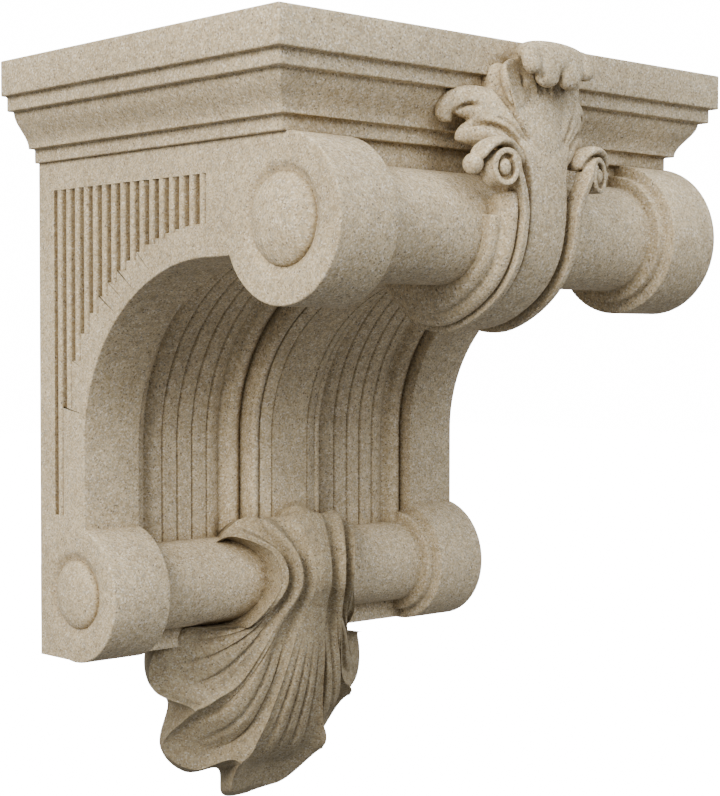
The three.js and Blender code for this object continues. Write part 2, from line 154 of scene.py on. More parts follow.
def rounded(corners: list[tuple[float, float]], radius: float, steps: int = 3) -> list[tuple[float, float]]:
    """An outline with its corners rounded.

    Args:
        corners: The outline's corners, in order, from its first end to its last.
        radius: The corner radius, which is cut down on short edges.
        steps: How many stretches stand for one corner.
    Returns:
        The rounded outline's points.
    """
    points = [np.array(c, dtype=float) for c in corners]
    result = [tuple(points[0])]
    for before, corner, after in zip(points, points[1:], points[2:]):
        back = before - corner
        on = after - corner
        reach = min(radius, np.linalg.norm(back) * 0.45, np.linalg.norm(on) * 0.45)
        start = corner + back / max(np.linalg.norm(back), 1e-9) * reach
        end = corner + on / max(np.linalg.norm(on), 1e-9) * reach
        for i in range(steps + 1):
            t = i / steps
            result.append(tuple((1 - t) ** 2 * start + 2 * t * (1 - t) * corner + t * t * end))
    result.append(tuple(points[-1]))
    return result


@dataclass
class Draft:
    """Vertices and faces of a closed mesh, in millimetres as (x, depth, drop)."""

    points: list[tuple[float, float, float]] = field(default_factory=list)
    faces: list[tuple[int, ...]] = field(default_factory=list)

    def add_rings(self, rings: np.ndarray) -> None:
        """Joins rings of points into a tube with filled ends.

        Args:
            rings: An array of (rings, points round, 3).
        """
        base = len(self.points)
        count, around, _ = rings.shape
        self.points.extend(map(tuple, rings.reshape(-1, 3)))
        for i in range(count - 1):
            low = base + i * around
            high = low + around
            for j in range(around):
                k = (j + 1) % around
                self.faces.append((low + j, low + k, high + k, high + j))
        self.faces.append(tuple(base + j for j in reversed(range(around))))
        self.faces.append(tuple(base + (count - 1) * around + j for j in range(around)))

    def add_capped_grid(self, grid: np.ndarray, back: np.ndarray, centre: tuple[float, float, float]) -> None:
        """Adds a sheet, a skirt from its border to a back border and a fan that closes the back.

        Args:
            grid: An array of (rows, columns, 3).
            back: The back border's points, one for each point of the sheet's border, in its order.
            centre: The fan's middle.
        """
        base = len(self.points)
        rows, columns, _ = grid.shape
        self.points.extend(map(tuple, grid.reshape(-1, 3)))
        for i in range(rows - 1):
            for j in range(columns - 1):
                a = base + i * columns + j
                self.faces.append((a, a + 1, a + columns + 1, a + columns))
        border = [base + i for i in border_indices(rows, columns)]
        start = len(self.points)
        self.points.extend(map(tuple, back))
        self.points.append(centre)
        middle = len(self.points) - 1
        for i, front in enumerate(border):
            j = (i + 1) % len(border)
            self.faces.append((border[j], front, start + i, start + j))
            self.faces.append((start + j, start + i, middle))

    def to_object(self, name: str) -> bpy.types.Object:
        """Makes the mesh object, with its faces turned outwards.

        Args:
            name: The object's name.
        Returns:
            The object.
        """
        mesh = bpy.data.meshes.new(name)
        mesh.from_pydata([place(*p) for p in self.points], [], self.faces)
        mesh.validate()
        obj = add_object(name, mesh)
        turn_outwards(obj)
        return obj


def tube(rings: list) -> Draft:
    """A closed form from rings of points.

    Args:
        rings: Rings of points (x, depth, drop), each with as many points.
    Returns:
        The closed form.
    """
    draft = Draft()
    draft.add_rings(np.array(rings))
    return draft


def add_object(name: str, data: bpy.types.ID) -> bpy.types.Object:
    """A new object in the scene.

    Args:
        name: Its name.
        data: Its mesh, camera or light.
    Returns:
        The object.
    """
    obj = bpy.data.objects.new(name, data)
    bpy.context.scene.collection.objects.link(obj)
    return obj


def headings(line: np.ndarray) -> np.ndarray:
    """The direction of a line at each of its points."""
    tangents = np.gradient(line, axis=0)
    return tangents / np.linalg.norm(tangents, axis=1)[:, None]


def border_indices(rows: int, columns: int) -> list[int]:
    """The indices of a grid's border points, in order round it.

    Args:
        rows: How many rows the grid has.
        columns: How many points a row has.
    Returns:
        The indices.
    """
    top = list(range(columns))
    right = [i * columns + columns - 1 for i in range(1, rows)]
    bottom = [(rows - 1) * columns + j for j in range(columns - 2, -1, -1)]
    left = [i * columns for i in range(rows - 2, 0, -1)]
    return top + right + bottom + left


def turn_outwards(obj: bpy.types.Object) -> None:
    """Turns a closed mesh's faces outwards.

    Args:
        obj: The mesh's object.
    """
    work = bmesh.new()
    work.from_mesh(obj.data)
    bmesh.ops.recalc_face_normals(work, faces=work.faces)
    if work.calc_volume(signed=True) < 0:
        bmesh.ops.reverse_faces(work, faces=work.faces)
    work.to_mesh(obj.data)
    work.free()


def apply_modifiers(obj: bpy.types.Object) -> None:
    """Replaces an object's mesh by what its modifiers make of it, and removes them.

    Args:
        obj: The object.
    """
    depsgraph = bpy.context.evaluated_depsgraph_get()
    result = bpy.data.meshes.new_from_object(obj.evaluated_get(depsgraph))
    obj.modifiers.clear()
    obj.data = result


def fuse(name: str, drafts: list[Draft], voxel: float, smoothing: int) -> bpy.types.Object:
    """Joins overlapping closed forms into one skin and softens it, as a carver rounds a joint.

    Args:
        name: The object's name.
        drafts: The forms.
        voxel: The skin's grid in millimetres.
        smoothing: How many times the skin is smoothed.
    Returns:
        The object.
    """
    whole = Draft()
    for draft in drafts:
        base = len(whole.points)
        whole.points.extend(draft.points)
        whole.faces.extend(tuple(base + i for i in f) for f in draft.faces)
    obj = whole.to_object(name)
    remesh = obj.modifiers.new("skin", "REMESH")
    remesh.mode = "VOXEL"
    remesh.voxel_size = voxel * MM
    soften = obj.modifiers.new("soften", "SMOOTH")
    soften.factor = 0.5
    soften.iterations = smoothing
    apply_modifiers(obj)
    return obj


def shade(obj: bpy.types.Object, angle: float) -> None:
    """Shades a mesh smooth, with sharp edges above an angle in degrees."""
    obj.data.polygons.foreach_set("use_smooth", [True] * len(obj.data.polygons))
    obj.data.set_sharp_from_angle(angle=math.radians(angle))


@dataclass(frozen=True)
class Groove:
    """A line cut into a surface, seen from the front."""

    course: list[tuple[float, float]]
    width: float
    depth: float


def carve(obj: bpy.types.Object, grooves: list[Groove], least_depth: float) -> None:
    """Cuts grooves into what faces forwards.

    Args:
        obj: The object.
        grooves: The lines, as points of x and drop.
        least_depth: Only what stands further forward than this is cut.
    """
    mesh = obj.data
    count = len(mesh.vertices)
    points = np.empty(count * 3)
    mesh.vertices.foreach_get("co", points)
    points = points.reshape(-1, 3) / MM
    normals = np.empty(count * 3)
    mesh.vertices.foreach_get("normal", normals)
    normals = normals.reshape(-1, 3)
    flat = np.stack([points[:, 0], CAP_TOP - points[:, 2]], axis=1)
    facing = smooth_step(-normals[:, 1] * 2.0) * (-points[:, 1] > least_depth)
    sink = np.zeros(count)
    for groove in grooves:
        line = spline(groove.course, 40)
        nearest = np.full(count, 1e9)
        for a, b in zip(line, line[1:]):
            along = b - a
            t = np.clip(((flat - a) @ along) / max(along @ along, 1e-9), 0, 1)
            nearest = np.minimum(nearest, np.linalg.norm(flat - a - t[:, None] * along, axis=1))
        ends = np.minimum(np.linalg.norm(flat - line[0], axis=1), np.linalg.norm(flat - line[-1], axis=1))
        fade = smooth_step(ends / (groove.width * 2.5))
        sink = np.maximum(sink, groove.depth * fade * smooth_step(1 - nearest / groove.width))
    points -= normals * (sink * facing)[:, None]
    mesh.vertices.foreach_set("co", (points * MM).ravel())
    mesh.update()


def mirrored(course: list[tuple[float, ...]], side: Side) -> list[tuple[float, ...]]:
    """A course with its x turned to one side."""
    return [(side.value * p[0], *p[1:]) for p in course]


FRONT = np.array([0.0, 1.0, 0.0])
ACROSS = np.array([1.0, 0.0, 0.0])


def tongue(
    course: list[tuple[float, float, float]],
    widths: list[float],
    thicknesses: list[float],
    hollow: float = 0.0,
    overturned: bool = False,
) -> Draft:
    """A leaf-like form along a line, with an oval section that may be dished in front.

    Args:
        course: Points (x, depth, drop) of its middle line.
        widths: Half widths along it.
        thicknesses: Half thicknesses along it.
        hollow: Depth of the dish in its front, as a share of the half thickness.
        overturned: Whether it curls over forwards, so that its width stays along X.
    Returns:
        The closed form.
    """
    stations = 40
    around = 28
    line = spline(course, stations)
    tangents = headings(line)
    share = np.linspace(0, 1, stations)
    width = np.interp(share, np.linspace(0, 1, len(widths)), widths)
    thick = np.interp(share, np.linspace(0, 1, len(thicknesses)), thicknesses)
    tip, root, least = 0.82, 0.1, 0.02
    end = np.sqrt(np.clip(1 - np.clip((share - tip) / (1 - tip), 0, 1) ** 2, least, 1))
    end *= np.sqrt(np.clip(1 - np.clip((root - share) / root, 0, 1) ** 2, least, 1))
    rings = []
    for i in range(stations):
        if overturned:
            across = ACROSS
            out = np.cross(across, tangents[i])
            out *= np.sign(out @ FRONT) if i == 0 else np.sign(out @ previous)
        else:
            out = FRONT - (FRONT @ tangents[i]) * tangents[i]
        out /= np.linalg.norm(out)
        previous = out
        if not overturned:
            across = np.cross(out, tangents[i])
        ring = []
        for k in range(around):
            angle = 2 * math.pi * k / around
            c, s = math.cos(angle), math.sin(angle)
            rise = thick[i] * math.copysign(abs(s) ** 0.8, s)
            if s > 0:
                rise -= thick[i] * hollow * (1 - abs(c) ** 3) * end[i]
            ring.append(line[i] + across * width[i] * end[i] * c + out * rise * end[i])
        rings.append(ring)
    return tube(rings)


def ball(centre: tuple[float, float, float], radii: tuple[float, float, float]) -> Draft:
    """An egg-shaped form.

    Args:
        centre: Its middle as (x, depth, drop).
        radii: Its radii along x, depth and drop.
    Returns:
        The closed form.
    """
    rings = []
    circles, around = 16, 24
    for i in range(1, circles):
        polar = math.pi * i / circles
        ring = []
        for k in range(around):
            angle = 2 * math.pi * k / around
            ring.append((
                centre[0] + radii[0] * math.sin(polar) * math.cos(angle),
                centre[1] + radii[1] * math.cos(polar),
                centre[2] + radii[2] * math.sin(polar) * math.sin(angle),
            ))
        rings.append(ring)
    return tube(rings)


def drum(
    centre: tuple[float, float], radii: tuple[float, float], back: float, front: float, tilt: float,
) -> Draft:
    """A flat-faced oval post that stands forwards.

    Args:
        centre: Its middle as (x, drop).
        radii: Its radii along x and drop.
        back: The depth at which it begins.
        front: The depth of its face at its middle.
        tilt: How fast its face falls back away from the corbel's middle.
    Returns:
        The closed form.
    """
    rings = []
    angles = np.linspace(0, 2 * math.pi, 48, endpoint=False)
    for depth, share in ((back, 1.0), (front - 0.6, 1.0), (front, 0.93)):
        x = centre[0] + radii[0] * share * np.cos(angles)
        rings.append(np.stack([x, depth - tilt * (np.abs(x) - abs(centre[0])),
                               centre[1] + radii[1] * share * np.sin(angles)], axis=1))
    return tube(rings)


def ribbon(
    line: np.ndarray, outs: np.ndarray, widths: np.ndarray, depth: float, edge: float = 0.9,
) -> Draft:
    """A band with a rounded rectangular section, hung below a line.

    Args:
        line: Points (x, depth, drop) of the middle of its outer face.
        outs: The outer face's direction at each point.
        widths: The band's width at each point.
        depth: How far it reaches inwards.
        edge: The radius of its edges.
    Returns:
        The closed form.
    """
    tangents = headings(line)
    rings = []
    for point, tangent, out, width in zip(line, tangents, outs, widths):
        half = width / 2
        corners = [(0, 0), (half, 0), (half, -depth), (-half, -depth), (-half, 0), (0, 0)]
        section = rounded(corners, edge)[1:-1]
        out = out - (out @ tangent) * tangent
        out /= np.linalg.norm(out)
        across = np.cross(tangent, out)
        rings.append([point + across * a + out * b for a, b in section])
    return tube(rings)


@dataclass(frozen=True)
class Cap:
    """The moulded cap: slab, fillet, ogee and lower fascia, returned along both sides."""

    slab_height: float = 23.0
    fillet_height: float = 9.4
    fillet_inset: float = 4.6
    ogee_height: float = 23.0
    ogee_top_inset: float = 9.6
    ogee_bottom_inset: float = 21.0
    fascia_inset: float = 25.8
    edge: float = 1.1
    ogee_stops: int = 15
    top_reach: float = 40.0
    bottom_reach: float = 60.0

    def moulding(self) -> list[tuple[float, float]]:
        """The moulding as insets and drops, from the top down.

        Returns:
            The moulding's points.
        """
        ogee_top = self.slab_height + self.fillet_height
        ogee_bottom = ogee_top + self.ogee_height
        ogee_reach = self.ogee_bottom_inset - self.ogee_top_inset
        corners = [(self.top_reach, 0.0), (0.0, 0.0), (0.0, self.slab_height)]
        corners += [(self.fillet_inset, self.slab_height), (self.fillet_inset, ogee_top)]
        for t in np.linspace(0, 1, self.ogee_stops):
            curve = (1 - math.cos(math.pi * t)) / 2
            corners.append((self.ogee_top_inset + ogee_reach * curve, ogee_top + self.ogee_height * t))
        corners += [(self.fascia_inset, ogee_bottom), (self.fascia_inset, SIZES.cap_height)]
        corners.append((self.bottom_reach, SIZES.cap_height))
        return rounded(corners, self.edge)

    def build(self) -> bpy.types.Object:
        """Makes the cap.

        Returns:
            The object.
        """
        rings = []
        for inset, drop in self.moulding():
            half = SIZES.cap_width / 2 - inset
            front = SIZES.cap_depth - inset
            outline = rounded([(half, 0), (half, front), (-half, front), (-half, 0)], self.edge)
            rings.append([(x, depth, drop) for x, depth in outline])
        obj = tube(rings).to_object("cap")
        shade(obj, 40)
        return obj


@dataclass(frozen=True)
class Body:
    """The bracket between cap and lower roll, with its concave sweep, sunk panels and rib."""

    line_pitch: float = 12.8
    line_sink: float = 2.2
    line_half_width: float = 1.1
    reed_half_width: float = 11.65
    groove_width: float = 3.6
    shoulder_width: float = 13.0
    shoulder_sink: float = 4.0
    rib_rise: float = 6.5
    rib_band: float = 16.5
    rib_bevel: float = 25.0
    bead_radii: tuple[float, ...] = (3.1, 2.6)
    bead_rise: float = 1.4
    reed_rise: float = 4.0
    panel_steps: int = 150
    cheek_edge: float = 1.3
    under_cap: float = 4.0
    flat_stations: int = 2
    throat_depths: tuple[float, ...] = (200.0, 222.0)

    def panel_out(self, offset: float) -> float:
        """Height of a sunk panel's floor, at an offset from its nearer side.

        Args:
            offset: Millimetres from the panel's inner side.
        Returns:
            The height, below 0 where the floor is sunk.
        """
        width = SIZES.inner_half - SIZES.rib_half_width
        t = min(offset, width - offset)
        shoulder = self.reed_half_width + self.groove_width
        sink = SIZES.panel_sink
        if t < self.reed_half_width:
            sink -= self.reed_rise * math.sin(math.pi * t / self.reed_half_width) ** 0.8
        elif t < shoulder:
            turn = math.pi / 2 * (t - self.reed_half_width) / self.groove_width
            sink += self.shoulder_sink * math.sin(turn) ** 0.7
        elif t < shoulder + self.shoulder_width:
            u = (t - shoulder) / self.shoulder_width
            sink += self.shoulder_sink * (1 - u) ** 2.6
        for k in (0.5, 1.5):
            line = width / 2 - k * self.line_pitch
            sink += self.line_sink * max(0.0, 1 - abs(t - line) / self.line_half_width)
        return -sink

    def half_section(self) -> list[tuple[float, float]]:
        """The right half of the section across the sweep, from the rib's middle to the side face.

        Returns:
            Points (x, height over the sweep's line).
        """
        rise = self.rib_rise
        section = [(0.0, rise), (self.rib_band - 0.9, rise), (self.rib_band, rise - 1.4)]
        section += [(self.rib_band + 0.9, rise - 0.1), (self.rib_bevel, rise - 2.6)]
        section.append((self.rib_bevel + 0.3, 1.0))
        for angle in np.linspace(150, 15, 8):
            turn = math.radians(angle)
            section.append((self.rib_bevel + 3.3 + self.bead_radii[0] * math.cos(turn),
                            self.bead_rise + self.bead_radii[1] * math.sin(turn)))
        section.append((SIZES.rib_half_width - 0.1, 0.0))
        width = SIZES.inner_half - SIZES.rib_half_width
        for offset in np.arange(0.0, width + 0.01, width / self.panel_steps):
            section.append((SIZES.rib_half_width + offset, self.panel_out(offset)))
        cheek = rounded([(SIZES.inner_half, -SIZES.panel_sink), (SIZES.inner_half, 0.0),
                         (SIZES.half_body, 0.0), (SIZES.half_body, -30.0)], self.cheek_edge)[1:-1]
        return section + cheek

    def path(self) -> tuple[list[tuple[float, float]], list[tuple[float, float]], list[tuple[float, float]]]:
        """The sweep's line, its outward directions and the points behind it, as depths and drops.

        Returns:
            Three lists, with one entry for each station of the line.
        """
        roof = SIZES.cap_height - self.under_cap
        below = SIZES.lower_drop + 12
        points = [(SIZES.lower_depth, SIZES.body_height), (SIZES.lower_depth, below)]
        outs = [(1.0, 0.0), (1.0, 0.0)]
        behind = [(0.0, SIZES.body_height), (0.0, below)]
        for drop in np.linspace(SIZES.lower_drop, SIZES.sweep_centre_drop, 7)[:-1]:
            points.append((SIZES.sweep_depth, drop))
            outs.append((1.0, 0.0))
            behind.append((0.0, drop))
        turns = np.linspace(0, math.pi / 2, 49)
        for turn in turns:
            points.append((SIZES.sweep_depth + SIZES.sweep_forward * (1 - math.cos(turn)),
                           SIZES.sweep_centre_drop - SIZES.sweep_rise * math.sin(turn)))
            out = np.array([math.cos(turn) * SIZES.sweep_rise, math.sin(turn) * SIZES.sweep_forward])
            outs.append(tuple(out / np.linalg.norm(out)))
            up = min(1.0, turn / (math.pi / 3))
            on = max(0.0, turn / (math.pi / 3) - 1) * 2
            behind.append((on * (SIZES.sweep_depth + SIZES.sweep_forward),
                           SIZES.sweep_centre_drop + (roof - SIZES.sweep_centre_drop) * up))
        level = SIZES.sweep_centre_drop - SIZES.sweep_rise
        for depth in (*self.throat_depths, SIZES.upper_depth):
            points.append((depth, level))
            outs.append((0.0, 1.0))
            behind.append((depth, roof))
        return points, outs, behind

    def build(self, rolls: list["Roll"]) -> bpy.types.Object:
        """Makes the bracket and cuts the reeded panels and the rolls' dishes into its sides.

        Args:
            rolls: The two rolls.
        Returns:
            The object.
        """
        half = self.half_section()
        section = half[::-1] + [(-x, out) for x, out in half[1:]]
        rings = []
        points, outs, behind = self.path()
        for i, ((depth, drop), out, back) in enumerate(zip(points, outs, behind)):
            relief = 0.0 if i < self.flat_stations else 1.0
            ring = [(x, depth + out[0] * h * relief, drop + out[1] * h * relief) for x, h in section]
            ring += [(-SIZES.half_body, *back), (SIZES.half_body, *back)]
            rings.append([(x, max(ahead, SEAM), fall) for x, ahead, fall in ring])
        obj = tube(rings).to_object("bracket")
        cutters = [Reeds(side).cutters() for side in Side]
        cutters += [roll.dish_cutter(side) for roll in rolls for side in Side]
        for cutter in cutters:
            cut = obj.modifiers.new("cut", "BOOLEAN")
            cut.operation = "DIFFERENCE"
            cut.solver = "MANIFOLD"
            cut.object = cutter
            apply_modifiers(obj)
            bpy.data.objects.remove(cutter, do_unlink=True)
        shade(obj, 32)
        return obj


@dataclass(frozen=True)
class Reeds:
    """The hollows between the reeds of one side face, repeated by a node tree."""

    side: Side
    pitch: float = 9.86
    count: int = 16
    margin: float = 17.3
    top_drop: float = 83.0
    foot_drop: float = 295.0
    band: float = 20.0
    sink: float = 3.0
    round_share: float = 1.6
    overlap: float = 0.12
    cutter_clear: float = 3.0
    skim: float = 0.04

    def foot(self, depth: float) -> float:
        """The drop at which a reed ends, a band's width above the sweep.

        Args:
            depth: Millimetres from the wall.
        Returns:
            The drop.
        """
        if depth < SIZES.sweep_depth - self.band:
            return self.foot_drop
        across = (SIZES.sweep_depth + SIZES.sweep_forward - depth) / (SIZES.sweep_forward + self.band)
        return SIZES.sweep_centre_drop - (SIZES.sweep_rise + self.band) * math.sqrt(max(0.0, 1 - across ** 2))

    def one_cutter(self) -> bpy.types.Object:
        """A cutter one metre long whose inner face is the round of a reed.

        Returns:
            The object.
        """
        face = self.side.value * SIZES.half_body * MM
        clear = self.side.value * self.cutter_clear * MM
        wide = (self.pitch + self.overlap) * MM
        profile = [(face + clear, 0.0)]
        for t in np.linspace(-1, 1, 21):
            sink = self.sink * (1 - math.sqrt(1 - min(1.0, abs(t) * self.round_share) ** 2)) + self.skim
            profile.append((face - self.side.value * sink * MM, -(t + 1) / 2 * wide))
        profile.append((face + clear, -wide))
        count = len(profile)
        points = [(x, y, z) for z in (0.0, -1.0) for x, y in profile]
        faces = [tuple(range(count)), tuple(range(2 * count - 1, count - 1, -1))]
        faces += [(i, (i + 1) % count, count + (i + 1) % count, count + i) for i in range(count)]
        mesh = bpy.data.meshes.new("reed_cutter")
        mesh.from_pydata(points, [], faces)
        obj = add_object("reed_cutter", mesh)
        turn_outwards(obj)
        return obj

    def cutters(self) -> bpy.types.Object:
        """All cutters of the side as one mesh.

        Returns:
            The object.
        """
        depths = [self.margin + k * self.pitch for k in range(self.count)]
        mesh = bpy.data.meshes.new("reed_points")
        mesh.from_pydata([place(0, depth, self.top_drop) for depth in depths], [], [])
        reach = mesh.attributes.new("reach", "FLOAT", "POINT")
        lengths = [(self.foot(depth + self.pitch / 2) - self.top_drop) * MM for depth in depths]
        reach.data.foreach_set("value", lengths)
        obj = add_object("reed_points", mesh)
        cutter = self.one_cutter()
        repeat = obj.modifiers.new("repeat", "NODES")
        repeat.node_group = repeat_tree("repeat_reeds")
        entries = repeat.node_group.interface.items_tree
        sockets = {entry.name: entry.identifier for entry in entries if entry.in_out == "INPUT"}
        repeat[sockets["Copy"]] = cutter
        repeat[sockets["Material"]] = stone_material()
        apply_modifiers(obj)
        bpy.data.objects.remove(cutter, do_unlink=True)
        return obj


def repeat_tree(name: str) -> bpy.types.NodeTree:
    """A node tree that puts a copy on each point and stretches it by the point's reach.

    Args:
        name: The tree's name.
    Returns:
        The tree, made once.
    """
    if name in bpy.data.node_groups:
        return bpy.data.node_groups[name]
    tree = bpy.data.node_groups.new(name, "GeometryNodeTree")
    tree.interface.new_socket("Points", in_out="INPUT", socket_type="NodeSocketGeometry")
    tree.interface.new_socket("Copy", in_out="INPUT", socket_type="NodeSocketObject")
    tree.interface.new_socket("Material", in_out="INPUT", socket_type="NodeSocketMaterial")
    tree.interface.new_socket("Geometry", in_out="OUTPUT", socket_type="NodeSocketGeometry")
    nodes, links = tree.nodes, tree.links
    start = nodes.new("NodeGroupInput")
    end = nodes.new("NodeGroupOutput")
    info = nodes.new("GeometryNodeObjectInfo")
    reach = nodes.new("GeometryNodeInputNamedAttribute")
    reach.data_type = "FLOAT"
    reach.inputs["Name"].default_value = "reach"
    scale = nodes.new("ShaderNodeCombineXYZ")
    scale.inputs["X"].default_value = 1.0
    scale.inputs["Y"].default_value = 1.0
    copies = nodes.new("GeometryNodeInstanceOnPoints")
    real = nodes.new("GeometryNodeRealizeInstances")
    paint = nodes.new("GeometryNodeSetMaterial")
    links.new(start.outputs["Copy"], info.inputs["Object"])
    links.new(reach.outputs["Attribute"], scale.inputs["Z"])
    links.new(start.outputs["Points"], copies.inputs["Points"])
    links.new(info.outputs["Geometry"], copies.inputs["Instance"])
    links.new(scale.outputs["Vector"], copies.inputs["Scale"])
    links.new(copies.outputs["Instances"], real.inputs["Geometry"])
    links.new(real.outputs["Geometry"], paint.inputs["Geometry"])
    links.new(start.outputs["Material"], paint.inputs["Material"])
    links.new(paint.outputs["Geometry"], end.inputs["Geometry"])
    return tree


@dataclass(frozen=True)
class Roll:
    """A roll across the corbel: thick ends with domed bosses and a thinner core between stepped rings."""

    name: str
    depth: float
    drop: float
    radius: float
    core: float
    boss_radius: float
    boss_rise: float
    ring_width: float = 6.5
    dish_width: float = 7.0
    dish_sink: float = 3.4
    edge: float = 1.4
    core_edge: float = 1.1
    stops: int = 96

    def half_profile(self) -> list[tuple[float, float]]:
        """Radii and places along X, from the boss's middle to the roll's.

        Returns:
            Points (radius, x).
        """
        end = SIZES.half_body + SEAM
        flank_x = SIZES.inner_half - SEAM
        floor = end - self.dish_sink
        profile = []
        for share in np.linspace(0, 1, 12):
            profile.append((self.boss_radius * math.sin(share * math.pi / 2),
                            floor + self.boss_rise * math.cos(share * math.pi / 2)))
        for share in np.linspace(0.1, 1, 7):
            profile.append((self.boss_radius + self.dish_width * share,
                            floor + self.dish_sink * smooth_step(share)))
        dish_end = self.boss_radius + self.dish_width
        profile += rounded([(dish_end, end), (self.radius, end), (self.radius, flank_x)], self.edge, 4)[1:-1]
        step = (self.core + self.radius) / 2
        ring_x = flank_x - self.ring_width
        neck = [(self.radius, end), (self.radius, flank_x), (step, flank_x), (step, ring_x)]
        neck += [(self.core, ring_x), (self.core, ring_x - 10.0)]
        profile += rounded(neck, self.core_edge, 4)[1:]
        return profile

    def dish_cutter(self, side: Side) -> bpy.types.Object:
        """A disc that clears the bracket's side face where the dish and the boss are.

        Args:
            side: The half that it clears.
        Returns:
            The object.
        """
        rings = []
        reach = self.boss_radius + self.dish_width + 2.0
        around = 64
        for x in (SIZES.half_body - self.dish_sink - 1.0, SIZES.half_body + 4.0):
            ring = []
            for k in range(around):
                angle = 2 * math.pi * k / around
                ring.append((side.value * x, self.depth + reach * math.cos(angle),
                             self.drop + reach * math.sin(angle)))
            rings.append(ring)
        return tube(rings).to_object("dish_cutter")

    def build(self) -> bpy.types.Object:
        """Makes the roll.

        Returns:
            The object.
        """
        half = self.half_profile()
        profile = half + [(r, -x) for r, x in reversed(half)]
        rings = []
        for r, x in profile[1:-1]:
            ring = []
            for k in range(self.stops):
                angle = 2 * math.pi * k / self.stops
                depth = max(0.0, self.depth + r * math.cos(angle))
                ring.append((x, depth, self.drop + r * math.sin(angle)))
            rings.append(ring)
        obj = tube(rings).to_object(self.name)
        shade(obj, 40)
        return obj


@dataclass(frozen=True)
class StemWrap:
    """The stem that runs down from the leaf and round the upper roll, with collars beside it."""

    course: tuple[tuple[float, float], ...] = (
        (283, 52), (290, 66), (292.5, 88), (292, 110), (287, 132), (275, 150), (256, 164), (234, 172),
        (212, 170), (192, 157), (176, 138),
    )
    half_width: float = 16.5
    inner_collar: tuple[float, ...] = (28.9, -4.6, -10.0)
    inner_start: float = 0.19
    outer_collar: tuple[float, ...] = (36.6, -11.6, -14.0)
    outer_start: float = 0.26
    strap_x: float = 23.7
    strap_width: float = 4.8
    strap_rise: float = 3.6
    stations: int = 90
    core_share: float = 0.25
    flare: float = 9.0
    flare_share: float = 0.16
    crown: float = 1.8
    flank: float = 12.0
    collar_radius: float = 4.6

    def line(self, count: int) -> tuple[np.ndarray, np.ndarray]:
        """The stem's line and its outward directions, as depths and drops.

        Args:
            count: How many points the line has.
        Returns:
            The points and the directions.
        """
        line = spline(self.course, count)
        tangents = headings(line)
        return line, np.stack([tangents[:, 1], -tangents[:, 0]], axis=1)

    def wrap(self, section: Callable[[float], list[tuple[float, float]]], start: float) -> Draft:
        """Runs a section along the stem's line, filled back into the roll.

        Args:
            section: Gives the section's points (x, rise) at a share of the line.
            start: The share of the line at which it begins.
        Returns:
            The closed form.
        """
        line, outs = self.line(self.stations)
        rings = []
        for i in range(int(start * self.stations), self.stations):
            points = section(i / (self.stations - 1))
            ring = [(x, line[i, 0] + outs[i, 0] * h, line[i, 1] + outs[i, 1] * h) for x, h in points]
            inner = (SIZES.upper_depth + self.core_share * (line[i, 0] - SIZES.upper_depth),
                     SIZES.upper_drop + self.core_share * (line[i, 1] - SIZES.upper_drop))
            ring += [(points[-1][0], *inner), (points[0][0], *inner)]
            rings.append(ring)
        return tube(rings)

    def stem_section(self, share: float) -> list[tuple[float, float]]:
        """The stem's own section: slightly crowned, flaring towards the leaf.

        Args:
            share: The share of the line at which it stands.
        Returns:
            Points (x, height).
        """
        half = self.half_width + self.flare * (1 - smooth_step(share / self.flare_share))
        points = []
        for x in np.linspace(-half, half, 25):
            points.append((x, self.crown * (1 - (x / half) ** 2)))
        return rounded([(-half, -self.flank), *points, (half, -self.flank)], 1.5)

    def collar_section(self, centre_x: float, centre_h: float, floor: float) -> list[tuple[float, float]]:
        """One round collar on each side of the stem, with a level floor between.

        Args:
            centre_x: The distance of the collar's middle from the stem's.
            centre_h: The height of the collar's middle over the stem's line.
            floor: The floor's height over that line.
        Returns:
            The section's points (x, height).
        """
        radius = self.collar_radius
        half = [(0.0, floor), (centre_x - radius, floor)]
        for angle in np.linspace(105, -15, 9):
            turn = math.radians(angle)
            half.append((centre_x + radius * math.cos(turn), centre_h + radius * math.sin(turn)))
        half.append((centre_x + radius + 0.5, centre_h - 9.0))
        return [(-x, h) for x, h in reversed(half)] + half[1:]

    def build(self) -> bpy.types.Object:
        """Makes the stem with its collars.

        Returns:
            The object.
        """
        forms = [
            self.wrap(self.stem_section, 0.0),
            self.wrap(lambda share: self.collar_section(*self.inner_collar), self.inner_start),
            self.wrap(lambda share: self.collar_section(*self.outer_collar), self.outer_start),
        ]
        obj = fuse("stem", forms, 1.0, 3)
        shade(obj, 60)
        return obj


